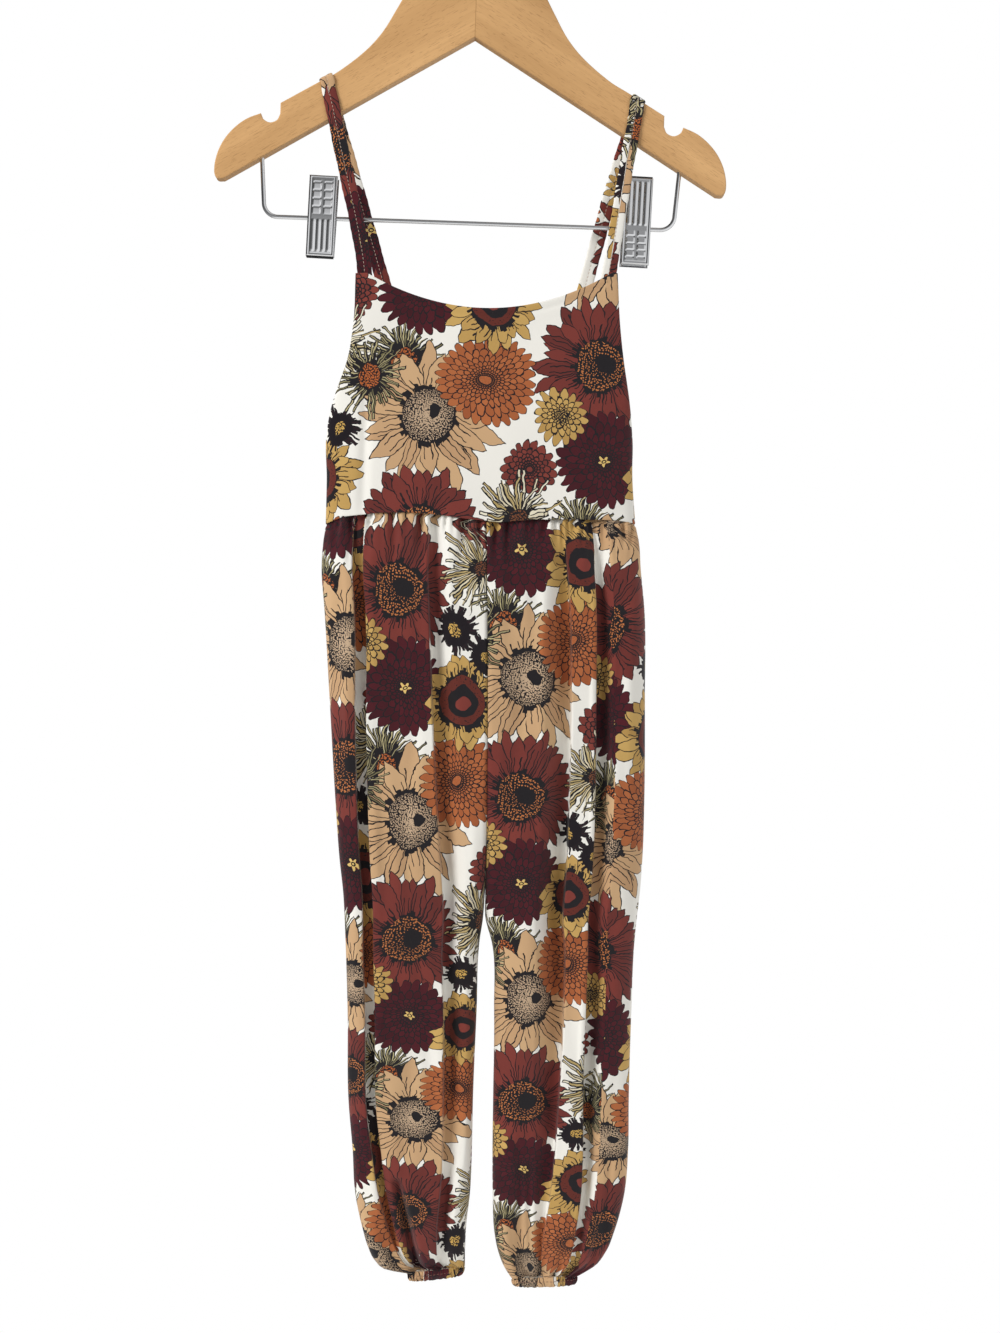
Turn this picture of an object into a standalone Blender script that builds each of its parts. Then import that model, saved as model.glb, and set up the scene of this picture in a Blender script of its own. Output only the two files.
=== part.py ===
"""A child's knit romper with thin straps and gathered legs, hanging on a wooden hanger with a clip bar.

Units are metres. +Z is up and the front faces -Y. The origin is the point inside the hook that
bears on the rail. Left and right are the sides seen from the front.
"""

import math

import bmesh
import bpy
import numpy as np
from mathutils import Matrix, Vector

MM = 0.001
SEAM_GAP = 0.3 * MM
WAIST_GAP = 0.5 * MM

# Hanger sizes, in a frame of its own: across and up from the point under the middle of the wood
HANGER_TILT = math.radians(1.97)
HOOK_TOP = 121 * MM
WOOD_THICK = 12 * MM
WOOD_EDGE = 1.2 * MM
NECK_TOP = 66 * MM
HOOK_WIRE = 3.4 * MM
HOOK_INNER_RADIUS = 19 * MM
HOOK_SHANK_FOOT = 46 * MM
HOOK_SHANK_BENDS = ((0, 8), (1.2, 12.5))
HOOK_TURN = (math.radians(-62), math.radians(205))
HOOK_STEPS = 22
BAR_WIRE = 3.0 * MM
BAR_LEVEL = -129 * MM
BAR_HALF_TOP = 146 * MM
BAR_HALF_FOOT = 143.8 * MM
BAR_BEND = 10 * MM
BAR_SOCKET = 10 * MM
BAR_BEND_STEPS = 6
WOOD_UNDER_SLOPE = 0.608
CUTTER_RUN = 5 * MM

# Half of the wood's outline, from the middle of the underside round the end to the top of the neck
WOOD_UNDERSIDE = ((0, 0), (172, -104.6))
WOOD_END = ((172, -104.6), (176.6, -104.4), (178.6, -100.5), (178.4, -93), (176, -84), (171.5, -75.5),
            (165, -68), (157, -62), (147.5, -58))
WOOD_NOTCH = ((147.5, -58), (145.6, -62), (141, -64.2), (136.2, -62.4), (134, -58), (134, -50.4))
WOOD_UPPER = ((134, -50.4), (108.8, -35.5), (94.7, -27.3), (77.3, -13.2), (64.9, 1), (55, 18.2),
              (47.2, 33), (41.5, 45), (33.5, 55), (20, 63), (0, 66))

# Clips on the bar
CLIP_WIDTH = 20 * MM
CLIP_PLATE = 1.0 * MM
CLIP_JAW_DEPTH = 3.0 * MM
CLIP_PIVOT_DEPTH = 6.4 * MM
CLIP_GRIP_DEPTH = 8.0 * MM
CLIP_EAR = 6 * MM
CLIP_BORE = 2.2 * MM
CLIP_LEAN = math.radians(3.4)
CLIP_DROP = 0.1 * MM
CLIP_EAR_INSET = 0.3 * MM
PAD_HEIGHT = 9 * MM
PAD_FOOT = 0.8 * MM
PAD_INSET = 0.6 * MM
CLIPS = ({"name": "clip_left", "along": -102.6, "grip": 29, "jaw": 27, "jaw_up": False},
         {"name": "clip_right", "along": 117.2, "grip": 26, "jaw": 36, "jaw_up": True})

# Cloth
CLOTH_THICK = 1.2 * MM
BODICE_THICK = 1.5 * MM
WAIST_LEVEL = -458.2 * MM
BODICE_COLUMNS = 20
BODICE_ROWS = 11
SECTION_POINTS = 81
CORNER_SHARPNESS = 4.0
SHARP_EDGE = math.radians(50)

# The front of the waist seam rises and dips a little: place across, and height, in mm
WAIST_WAVE = ((-109, -2.8), (-95, 2.0), (-70, 4.6), (-50, 4.8), (-30, 3.2), (-8, 0.0), (13, -2.1),
              (34, -0.5), (66, 0.0), (95, -0.7), (109, -2.8))
WAIST_WAVE_REACH = 40
BACK_WAVE_POWER = 6

# Bodice sections in mm: height above the waist seam, the two edges, half depth, and how open each
# edge stands, from 0 at a side seam to 1 where the edge lies as deep as the middle
BODICE_FRONT_SECTIONS = (
    {"height": 0, "left": -108.5, "right": 107.8, "depth": 17.0, "open": 0.0},
    {"height": 30, "left": -107.8, "right": 105.9, "depth": 16.5, "open": 0.0},
    {"height": 63, "left": -107.8, "right": 105.7, "depth": 15.5, "open": 0.0},
    {"height": 74, "left": -105.8, "right": 104.7, "depth": 15.0, "open": 0.25},
    {"height": 85, "left": -102.6, "right": 103.4, "depth": 14.5, "open": 0.48},
    {"height": 97, "left": -98.0, "right": 101.6, "depth": 14.2, "open": 0.62},
    {"height": 108, "left": -93.8, "right": 99.9, "depth": 14.0, "open": 0.7},
    {"height": 134, "left": -88.9, "right": 97.0, "depth": 13.5, "open": 0.8},
    {"height": 171, "left": -87.2, "right": 95.2, "depth": 13.0, "open": 0.85},
)
BODICE_BACK_SECTIONS = (
    {"height": 0, "left": -108.5, "right": 107.8, "depth": 17.0, "open": 0.0},
    {"height": 30, "left": -107.8, "right": 105.9, "depth": 16.5, "open": 0.0},
    {"height": 63, "left": -107.8, "right": 105.7, "depth": 15.5, "open": 0.0},
    {"height": 80, "left": -104.0, "right": 102.5, "depth": 14.6, "open": 0.35},
    {"height": 95, "left": -97.0, "right": 96.5, "depth": 13.6, "open": 0.6},
    {"height": 110, "left": -87.0, "right": 88.0, "depth": 12.8, "open": 0.72},
    {"height": 125, "left": -76.5, "right": 79.0, "depth": 12.0, "open": 0.82},
    {"height": 141, "left": -67.5, "right": 73.0, "depth": 11.4, "open": 0.88},
)
# The scooped top edges in mm: height of the lowest point and of the corners, middle and half width
FRONT_NECK = {"low": 147.0, "corner": 171.5, "middle": 6.0, "half": 85.0}
BACK_NECK = {"low": 133.0, "corner": 141.0, "middle": 3.0, "half": 60.0}

# Leg sections in mm: drop below the waist seam, outer and inner edge, half depth, and how far the
# front and back have closed on each other at the inner edge, from 0 at the seat to 1 below the crotch
LEG_LEFT_SECTIONS = (
    {"drop": 0, "outer": -108.5, "inner": 4.0, "depth": 17.0, "closed": 0.0},
    {"drop": 12, "outer": -110.2, "inner": 4.2, "depth": 19.5, "closed": 0.0},
    {"drop": 34, "outer": -111.3, "inner": 4.4, "depth": 22.5, "closed": 0.0},
    {"drop": 62, "outer": -109.2, "inner": 4.6, "depth": 24.0, "closed": 0.0},
    {"drop": 122, "outer": -105.7, "inner": 4.8, "depth": 25.0, "closed": 0.0},
    {"drop": 195, "outer": -101.5, "inner": 4.2, "depth": 25.0, "closed": 0.12},
    {"drop": 235, "outer": -98.7, "inner": 3.4, "depth": 24.0, "closed": 0.4},
    {"drop": 262, "outer": -95.9, "inner": 2.4, "depth": 22.5, "closed": 0.8},
    {"drop": 276, "outer": -95.2, "inner": 1.6, "depth": 21.5, "closed": 1.0},
    {"drop": 294, "outer": -94.5, "inner": -1.0, "depth": 21.0, "closed": 1.0},
    {"drop": 342, "outer": -93.1, "inner": -3.0, "depth": 20.0, "closed": 1.0},
    {"drop": 405, "outer": -92.4, "inner": -5.6, "depth": 20.0, "closed": 1.0},
    {"drop": 438, "outer": -89.6, "inner": -6.3, "depth": 20.5, "closed": 1.0},
    {"drop": 470, "outer": -87.5, "inner": -7.7, "depth": 21.0, "closed": 1.0},
    {"drop": 491, "outer": -82.6, "inner": -10.2, "depth": 20.5, "closed": 1.0},
    {"drop": 502, "outer": -79.0, "inner": -10.8, "depth": 19.0, "closed": 1.0},
    {"drop": 511, "outer": -74.0, "inner": -11.2, "depth": 16.5, "closed": 1.0},
    {"drop": 517, "outer": -66.5, "inner": -11.2, "depth": 14.0, "closed": 1.0},
    {"drop": 521, "outer": -52.0, "inner": -11.2, "depth": 11.0, "closed": 1.0},
)
LEG_RIGHT_SECTIONS = (
    {"drop": 0, "outer": 107.8, "inner": 4.0, "depth": 17.0, "closed": 0.0},
    {"drop": 12, "outer": 110.2, "inner": 4.2, "depth": 19.5, "closed": 0.0},
    {"drop": 34, "outer": 111.6, "inner": 4.4, "depth": 22.5, "closed": 0.0},
    {"drop": 62, "outer": 114.1, "inner": 4.6, "depth": 24.0, "closed": 0.0},
    {"drop": 122, "outer": 114.4, "inner": 4.8, "depth": 25.0, "closed": 0.0},
    {"drop": 195, "outer": 114.0, "inner": 4.2, "depth": 25.0, "closed": 0.12},
    {"drop": 235, "outer": 112.7, "inner": 3.4, "depth": 24.0, "closed": 0.4},
    {"drop": 262, "outer": 110.6, "inner": 2.9, "depth": 22.5, "closed": 0.8},
    {"drop": 276, "outer": 108.9, "inner": 2.9, "depth": 21.5, "closed": 1.0},
    {"drop": 294, "outer": 107.1, "inner": 7.5, "depth": 21.0, "closed": 1.0},
    {"drop": 342, "outer": 105.0, "inner": 9.1, "depth": 20.0, "closed": 1.0},
    {"drop": 405, "outer": 103.2, "inner": 8.4, "depth": 20.0, "closed": 1.0},
    {"drop": 438, "outer": 102.8, "inner": 8.0, "depth": 20.5, "closed": 1.0},
    {"drop": 470, "outer": 99.9, "inner": 8.1, "depth": 21.0, "closed": 1.0},
    {"drop": 495, "outer": 93.0, "inner": 9.3, "depth": 20.5, "closed": 1.0},
    {"drop": 508, "outer": 87.8, "inner": 12.0, "depth": 18.5, "closed": 1.0},
    {"drop": 518, "outer": 80.5, "inner": 16.0, "depth": 15.5, "closed": 1.0},
    {"drop": 526, "outer": 68.0, "inner": 21.0, "depth": 11.5, "closed": 1.0},
)
# Valleys between the folds of each leg panel: at each share of the leg's length, the centre as a
# share of the way from the inner to the outer edge, with depth and half width in mm
VALLEYS = {
    "leg_front_left": (
        ({"along": 0.0, "centre": 0.32, "depth": 2.5, "half": 5.0},
         {"along": 0.12, "centre": 0.32, "depth": 5.5, "half": 6.0},
         {"along": 0.38, "centre": 0.29, "depth": 7.0, "half": 6.0},
         {"along": 0.56, "centre": 0.235, "depth": 7.0, "half": 5.5},
         {"along": 0.85, "centre": 0.21, "depth": 6.0, "half": 5.0},
         {"along": 1.0, "centre": 0.30, "depth": 2.0, "half": 2.6}),
        ({"along": 0.0, "centre": 0.782, "depth": 7.0, "half": 4.4},
         {"along": 0.1, "centre": 0.772, "depth": 12.0, "half": 4.6},
         {"along": 0.31, "centre": 0.81, "depth": 13.0, "half": 4.6},
         {"along": 0.66, "centre": 0.82, "depth": 11.0, "half": 4.2},
         {"along": 0.85, "centre": 0.79, "depth": 7.0, "half": 4.2},
         {"along": 1.0, "centre": 0.66, "depth": 3.0, "half": 2.6})),
    "leg_front_right": (
        ({"along": 0.0, "centre": 0.50, "depth": 2.5, "half": 5.0},
         {"along": 0.1, "centre": 0.51, "depth": 8.0, "half": 6.5},
         {"along": 0.45, "centre": 0.50, "depth": 10.0, "half": 6.5},
         {"along": 0.75, "centre": 0.47, "depth": 9.0, "half": 6.0},
         {"along": 1.0, "centre": 0.38, "depth": 2.5, "half": 2.6}),
        ({"along": 0.0, "centre": 0.70, "depth": 2.5, "half": 4.0},
         {"along": 0.1, "centre": 0.69, "depth": 7.0, "half": 4.4},
         {"along": 0.45, "centre": 0.68, "depth": 9.0, "half": 4.6},
         {"along": 0.75, "centre": 0.66, "depth": 10.0, "half": 4.6},
         {"along": 1.0, "centre": 0.68, "depth": 3.0, "half": 2.6})),
    "leg_back_left": (
        ({"along": 0.0, "centre": 0.33, "depth": 3.0, "half": 5.0},
         {"along": 0.15, "centre": 0.34, "depth": 9.0, "half": 6.0},
         {"along": 0.6, "centre": 0.30, "depth": 10.0, "half": 5.5},
         {"along": 1.0, "centre": 0.34, "depth": 2.5, "half": 2.6}),
        ({"along": 0.0, "centre": 0.68, "depth": 3.0, "half": 5.0},
         {"along": 0.15, "centre": 0.70, "depth": 8.0, "half": 5.5},
         {"along": 0.6, "centre": 0.72, "depth": 9.0, "half": 5.0},
         {"along": 1.0, "centre": 0.68, "depth": 2.5, "half": 2.6})),
    "leg_back_right": (
        ({"along": 0.0, "centre": 0.28, "depth": 3.0, "half": 5.0},
         {"along": 0.15, "centre": 0.27, "depth": 8.0, "half": 6.0},
         {"along": 0.6, "centre": 0.33, "depth": 9.0, "half": 5.5},
         {"along": 1.0, "centre": 0.33, "depth": 2.5, "half": 2.6}),
        ({"along": 0.0, "centre": 0.62, "depth": 3.0, "half": 5.0},
         {"along": 0.15, "centre": 0.64, "depth": 10.0, "half": 5.5},
         {"along": 0.6, "centre": 0.70, "depth": 9.0, "half": 5.0},
         {"along": 1.0, "centre": 0.67, "depth": 2.5, "half": 2.6})),
}
LEG_ROWS = 23
SPAN_COLUMNS = 3
EDGE_STEPS = (0.0, 0.012, 0.05, 0.12)
VALLEY_FLOOR = 0.45
ROW_BUNCHING = (0.05, 0.0275)
HEM_TILT_REACH = 60
WAIST_GATHER = {"height": 1.8 * MM, "reach": 40 * MM}
HEM_GATHER = {"height": 0.9 * MM, "reach": 26 * MM}

# Elastic casings at the hems
CUFF_HEIGHT = 9 * MM
CUFF_COLUMNS = 36
CUFF_CRIMP = 0.7 * MM
CUFF_SQUARENESS = 0.75
CUFF_GAP = 0.45 * MM
CUFFS = {"cuff_left": {"sections": LEG_LEFT_SECTIONS, "slope": 0.11, "bulge": 0.6},
         "cuff_right": {"sections": LEG_RIGHT_SECTIONS, "slope": 0.03, "bulge": 0.6}}

# Straps: width, thickness, and the hand-set route down each side, place in mm and lean in degrees
STRAP_WIDTH = 10 * MM
STRAP_THICK = 1.6 * MM
STRAP_CORNER_STEPS = 4
STRAPS = {
    "strap_left": {
        "top": (-107.8, -149.25), "slope": 28.2,
        "front": ((-80.0, -8.2, -297.5, 12), (-80.7, -8.3, -289.0, 12),
                  (-81.6, -8.7, -279.0, 12), (-84.0, -10.6, -263.0, 12),
                  (-87.0, -12.0, -247.0, 12), (-90.7, -12.4, -230.0, 12), (-94.4, -12.2, -212.6, 12),
                  (-98.2, -10.6, -195.0, 12), (-101.6, -8.4, -178.5, 13), (-104.4, -7.1, -165.0, 16),
                  (-106.2, -7.1, -157.0, 22)),
        "back": ((-106.4, 7.1, -157.0, 22), (-104.2, 7.1, -166.0, 17), (-100.9, 7.1, -177.0, 15),
                 (-92.0, 7.9, -208.0, 15), (-82.6, 8.7, -241.0, 15), (-73.6, 8.4, -273.0, 14),
                 (-64.8, 7.8, -304.0, 14), (-60.6, 7.4, -318.0, 14), (-57.9, 7.2, -327.5, 14))},
    "strap_right": {
        "top": (110.0, -164.3), "slope": -32.4,
        "front": ((87.4, -7.8, -298.0, -11), (88.6, -7.9, -290.0, -11),
                  (90.1, -8.3, -281.5, -11), (92.5, -10.6, -267.0, -11),
                  (94.6, -11.7, -253.0, -11), (96.6, -11.9, -241.0, -11), (99.4, -11.4, -224.0, -11),
                  (102.1, -10.0, -207.0, -11), (104.4, -8.0, -194.5, -12), (106.7, -7.1, -182.0, -16),
                  (108.4, -7.1, -172.0, -24)),
        "back": ((108.0, 7.1, -172.0, -24), (105.4, 7.1, -181.0, -18), (102.4, 7.1, -191.0, -15),
                 (94.0, 7.9, -218.0, -15), (84.6, 8.7, -251.0, -15), (76.4, 8.4, -281.0, -15),
                 (70.2, 7.8, -304.0, -14), (66.0, 7.4, -318.0, -14), (63.2, 7.2, -327.5, -14))},
}


def clear_scene():
    """Removes what the file holds at the start."""
    for item in list(bpy.data.objects):
        bpy.data.objects.remove(item, do_unlink=True)


def finish(name, colour, roughness, metallic=0.0):
    """A plain material in this colour."""
    made = bpy.data.materials.new(name)
    made.use_nodes = True
    shader = made.node_tree.nodes["Principled BSDF"]
    shader.inputs["Base Color"].default_value = (*colour, 1.0)
    shader.inputs["Roughness"].default_value = roughness
    shader.inputs["Metallic"].default_value = metallic
    return made


def place(name, mesh, collection, material=None):
    """A new object for this mesh in the collection."""
    item = bpy.data.objects.new(name, mesh)
    collection.objects.link(item)
    if material is not None:
        mesh.materials.clear()
        mesh.materials.append(material)
    return item


def hanger_matrix():
    """Places the hanger's own frame, tilted as it hangs, with the hook's bearing point at the origin."""
    stand = Matrix.Rotation(math.radians(90), 4, "X")
    return Matrix.Rotation(HANGER_TILT, 4, "Y") @ Matrix.Translation((0, 0, -HOOK_TOP)) @ stand


def smooth_run(points, steps):
    """Points along a smooth curve through these points, without the last one."""
    points = [np.array(p, float) for p in points]
    padded = [2 * points[0] - points[1], *points, 2 * points[-1] - points[-2]]
    run = []
    for a, b, c, d in zip(padded, padded[1:], padded[2:], padded[3:]):
        for step in range(steps):
            t = step / steps
            run.append(0.5 * (2 * b + (c - a) * t + (2 * a - 5 * b + 4 * c - d) * t * t
                              + (3 * b - a - 3 * c + d) * t ** 3))
    return run


def wood_outline():
    """The closed outline of the wood, in metres, in the hanger's frame."""
    half = [np.array(WOOD_UNDERSIDE[0], float)]
    half += smooth_run(WOOD_END, 1)
    half += smooth_run(WOOD_NOTCH[:-1], 2)
    half += [np.array(WOOD_NOTCH[-2], float)]
    half += smooth_run(WOOD_UPPER, 2)
    other = [point * (-1, 1) for point in half[:0:-1]]
    return [point * MM for point in half + [np.array(WOOD_UPPER[-1], float)] + other]


def curve_object(name, points, collection, cyclic=False):
    """A curve object of one polygon spline through these points."""
    curve = bpy.data.curves.new(name, "CURVE")
    spline = curve.splines.new("POLY")
    spline.points.add(len(points) - 1)
    for slot, point in zip(spline.points, points):
        slot.co = (*point, *([0.0] * (3 - len(point))), 1.0)
    spline.use_cyclic_u = cyclic
    item = bpy.data.objects.new(name, curve)
    collection.objects.link(item)
    return item


def meshed(item, collection, material):
    """The curve object as a mesh object of the same name, its caps welded to its sides."""
    bpy.context.view_layer.update()
    graph = bpy.context.evaluated_depsgraph_get()
    mesh = bpy.data.meshes.new_from_object(item.evaluated_get(graph))
    shape = bmesh.new()
    shape.from_mesh(mesh)
    bmesh.ops.remove_doubles(shape, verts=shape.verts, dist=1e-6)
    shape.to_mesh(mesh)
    shape.free()
    name = item.name
    matrix = item.matrix_world.copy()
    bpy.data.objects.remove(item)
    made = place(name, mesh, collection, material)
    made.matrix_world = matrix
    return made


def wire(name, points, diameter, parts, material):
    """A round wire through these points of the hanger's frame."""
    item = curve_object(name, points, parts)
    item.data.dimensions = "3D"
    item.data.bevel_depth = diameter / 2
    item.data.bevel_resolution = 2
    item.data.use_fill_caps = True
    item.data.materials.append(material)
    item.matrix_world = hanger_matrix()
    return item


def cutter(name, radius, low, high, across, cutters):
    """A round cutter standing up in the hanger's frame between two heights."""
    mesh = bpy.data.meshes.new(name)
    shape = bmesh.new()
    upright = Matrix.Translation((across, (low + high) / 2, 0)) @ Matrix.Rotation(math.radians(90), 4, "X")
    bmesh.ops.create_cone(shape, cap_ends=True, segments=12, radius1=radius, radius2=radius,
                          depth=high - low, matrix=hanger_matrix() @ upright)
    shape.to_mesh(mesh)
    shape.free()
    return helper(place(name, mesh, cutters))


def helper(item):
    """Marks an object that only cuts others."""
    item.hide_render = True
    item.display_type = "WIRE"
    return item


def boolean(target, other, operation):
    """Adds a Boolean modifier that joins or cuts with another object."""
    modifier = target.modifiers.new(operation.lower(), "BOOLEAN")
    modifier.operation = operation
    modifier.object = other


def make_wood(parts, cutters, material):
    """The flat wooden arms with their notches, bored for the hook and for the bar's ends."""
    item = curve_object("hanger_wood", wood_outline(), parts, cyclic=True)
    item.data.dimensions = "2D"
    item.data.fill_mode = "BOTH"
    item.data.extrude = WOOD_THICK / 2 - WOOD_EDGE
    item.data.bevel_depth = WOOD_EDGE
    item.data.bevel_resolution = 1
    item.data.offset = -WOOD_EDGE
    item.matrix_world = hanger_matrix()
    wood = meshed(item, parts, material)
    bore = HOOK_WIRE / 2 + SEAM_GAP
    neck = cutter("neck_bore", bore, HOOK_SHANK_FOOT - MM, NECK_TOP + CUTTER_RUN, 0, cutters)
    boolean(wood, neck, "DIFFERENCE")
    for side in (-1, 1):
        under = -BAR_HALF_TOP * WOOD_UNDER_SLOPE
        socket = cutter("bar_socket", BAR_WIRE / 2 + SEAM_GAP, under - CUTTER_RUN,
                        under + BAR_SOCKET + MM, side * BAR_HALF_TOP, cutters)
        boolean(wood, socket, "DIFFERENCE")


def make_hook(parts, material):
    """The wire hook: a shank screwed in the neck and an open round of about three quarters of a turn."""
    radius = HOOK_INNER_RADIUS + HOOK_WIRE / 2
    middle = HOOK_TOP - HOOK_INNER_RADIUS
    route = [(0, HOOK_SHANK_FOOT), (0, NECK_TOP)]
    route += [(x * MM, NECK_TOP + rise * MM) for x, rise in HOOK_SHANK_BENDS]
    for angle in np.linspace(*HOOK_TURN, HOOK_STEPS + 1):
        route.append((radius * math.cos(angle), middle + radius * math.sin(angle)))
    wire("hanger_hook", route, HOOK_WIRE, parts, material)


def make_bar(parts, material):
    """The clip bar: a wire whose two ends stand in the wood."""
    foot = (BAR_HALF_FOOT - BAR_BEND, BAR_LEVEL + BAR_BEND)
    corner = [(foot[0] + BAR_BEND * math.cos(angle), foot[1] + BAR_BEND * math.sin(angle))
              for angle in np.radians(np.linspace(-90, 0, BAR_BEND_STEPS))]
    end = [(BAR_HALF_TOP, -BAR_HALF_TOP * WOOD_UNDER_SLOPE - MM),
           (BAR_HALF_TOP, -BAR_HALF_TOP * WOOD_UNDER_SLOPE + BAR_SOCKET)]
    right = corner + end
    left = [(-x, y) for x, y in reversed(right)]
    wire("hanger_bar", left + right, BAR_WIRE, parts, material)


def clip_matrix(clip):
    """Places a clip's own frame, jaws down and grip up, where it hangs on the bar."""
    spot = hanger_matrix() @ Vector((clip["along"] * MM, BAR_LEVEL - CLIP_DROP, 0))
    turn = Matrix.Rotation(CLIP_LEAN, 4, "Y")
    if clip["jaw_up"]:
        turn = turn @ Matrix.Rotation(math.radians(180), 4, "X")
    return Matrix.Translation(spot) @ turn


def prism(name, profile, low, high, collection, matrix):
    """A solid of this (y, z) profile between two places across."""
    shape = bmesh.new()
    ends = [[shape.verts.new((x, y, z)) for y, z in profile] for x in (low, high)]
    for end in ends:
        shape.faces.new(end)
    for c in range(len(profile)):
        after = (c + 1) % len(profile)
        shape.faces.new((ends[0][c], ends[0][after], ends[1][after], ends[1][c]))
    shape.transform(matrix)
    bmesh.ops.recalc_face_normals(shape, faces=shape.faces)
    if shape.calc_volume(signed=True) < 0:
        bmesh.ops.reverse_faces(shape, faces=shape.faces)
    mesh = bpy.data.meshes.new(name)
    shape.to_mesh(mesh)
    shape.free()
    return place(name, mesh, collection)


def make_clip(clip, parts, cutters, steel, rubber):
    """A pinch clip: two pressed plates joined by ears round the bar, with rubber between the jaws."""
    matrix = clip_matrix(clip)
    grip, jaw = clip["grip"] * MM, clip["jaw"] * MM
    jaw_y, pivot_y, grip_y = CLIP_JAW_DEPTH, CLIP_PIVOT_DEPTH, CLIP_GRIP_DEPTH
    bends = ((jaw_y, -jaw), (pivot_y, 0), (grip_y, grip))
    plates = []
    for face in (-1, 1):
        profile = [(face * y, z) for y, z in bends] + [(face * (y - CLIP_PLATE), z) for y, z in bends[::-1]]
        name, home = (clip["name"], parts) if face < 0 else ("back_plate", cutters)
        plates.append(prism(name, profile, -CLIP_WIDTH / 2, CLIP_WIDTH / 2, home, matrix))
    body = plates[0]
    body.data.materials.append(steel)
    boolean(body, helper(plates[1]), "UNION")
    low = pivot_y - (pivot_y - jaw_y) * CLIP_EAR / jaw - CLIP_PLATE / 2
    high = pivot_y + (grip_y - pivot_y) * CLIP_EAR / grip - CLIP_PLATE / 2
    sides = ((low, -CLIP_EAR), (pivot_y - CLIP_PLATE / 2, 0), (high, CLIP_EAR))
    ear = [(-y, z) for y, z in sides] + [(y, z) for y, z in sides[::-1]]
    reach = CLIP_WIDTH / 2 - CLIP_EAR_INSET
    for side in (-1, 1):
        ends = sorted((side * reach, side * (reach - CLIP_PLATE)))
        boolean(body, helper(prism("ear", ear, *ends, cutters, matrix)), "UNION")
    bore = bpy.data.meshes.new("clip_bore")
    shape = bmesh.new()
    bmesh.ops.create_cone(shape, cap_ends=True, segments=12, radius1=CLIP_BORE, radius2=CLIP_BORE,
                          depth=CLIP_WIDTH * 2, matrix=matrix @ Matrix.Rotation(math.radians(90), 4, "Y"))
    shape.to_mesh(bore)
    shape.free()
    boolean(body, helper(place("clip_bore", bore, cutters)), "DIFFERENCE")
    half = jaw_y - CLIP_PLATE - SEAM_GAP
    flare = (pivot_y - jaw_y) / jaw
    top, foot = PAD_HEIGHT - jaw, -jaw - PAD_FOOT
    wide = half + flare * PAD_HEIGHT
    profile = [(-half, foot), (half, foot), (half, -jaw), (wide, top), (-wide, top), (-half, -jaw)]
    across = CLIP_WIDTH / 2 - PAD_INSET
    pad = prism(clip["name"] + "_pad", profile, -across, across, parts, matrix)
    pad.data.materials.append(rubber)


def follow(table, key, column, at):
    """The value of a table's column at this place, on a smooth curve through its rows."""
    places = np.array([row[key] for row in table], float)
    values = np.array([row[column] for row in table], float)
    slopes = np.gradient(values, places)
    at = min(max(at, places[0]), places[-1])
    i = min(int(np.searchsorted(places, at, side="right")) - 1, len(places) - 2)
    width = places[i + 1] - places[i]
    t = (at - places[i]) / width
    return ((1 + 2 * t) * (1 - t) ** 2 * values[i] + t * (1 - t) ** 2 * width * slopes[i]
            + t * t * (3 - 2 * t) * values[i + 1] + t * t * (t - 1) * width * slopes[i + 1])


def waist_rise(x, face):
    """How far the waist seam stands above its level at this place across, in metres."""
    places = [row[0] * MM for row in WAIST_WAVE]
    rises = [row[1] * MM for row in WAIST_WAVE]
    if face > 0:
        return rises[0] * min(1.0, abs(x) / abs(places[0])) ** BACK_WAVE_POWER
    return float(np.interp(x, places, rises))


def rounded_end(share):
    """Rises from 0 at the end of a section to 1 in its middle, as a rounded corner does."""
    share = min(max(share, 0.0), 1.0)
    return (1 - (1 - share) ** CORNER_SHARPNESS) ** (1 / CORNER_SHARPNESS)


def wall(name, outer, inner, collection, material):
    """A closed wall between two grids of points that have the same rows and columns."""
    rows, columns = len(outer), len(outer[0])
    shape = bmesh.new()
    grids = [[[shape.verts.new(point) for point in row] for row in grid] for grid in (outer, inner)]
    for r in range(rows - 1):
        for c in range(columns - 1):
            a, b = grids[0], grids[1]
            shape.faces.new((a[r][c], a[r][c + 1], a[r + 1][c + 1], a[r + 1][c]))
            shape.faces.new((b[r][c], b[r + 1][c], b[r + 1][c + 1], b[r][c + 1]))
    border = [(0, c) for c in range(columns)] + [(r, columns - 1) for r in range(1, rows)]
    border += [(rows - 1, c) for c in range(columns - 2, -1, -1)] + [(r, 0) for r in range(rows - 2, 0, -1)]
    for (r1, c1), (r2, c2) in zip(border, border[1:] + border[:1]):
        shape.faces.new((grids[0][r1][c1], grids[1][r1][c1], grids[1][r2][c2], grids[0][r2][c2]))
    return closed_object(name, shape, collection, material)


def closed_object(name, shape, collection, material):
    """An object of this closed shape, its faces pointing out, shaded smooth."""
    bmesh.ops.triangulate(shape, faces=shape.faces)
    bmesh.ops.recalc_face_normals(shape, faces=shape.faces)
    if shape.calc_volume(signed=True) < 0:
        bmesh.ops.reverse_faces(shape, faces=shape.faces)
    mesh = bpy.data.meshes.new(name)
    shape.to_mesh(mesh)
    shape.free()
    mesh.shade_smooth()
    mesh.set_sharp_from_angle(angle=SHARP_EDGE)
    return place(name, mesh, collection, material)


def flat_normals(line, outward):
    """Unit normals across a line of (x, y) points, on the side where outward is positive."""
    line = np.array(line, float)
    along = np.gradient(line, axis=0)
    normals = np.stack([along[:, 1], -along[:, 0]], axis=1)
    normals /= np.linalg.norm(normals, axis=1)[:, None]
    return normals if outward > 0 else -normals


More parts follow.
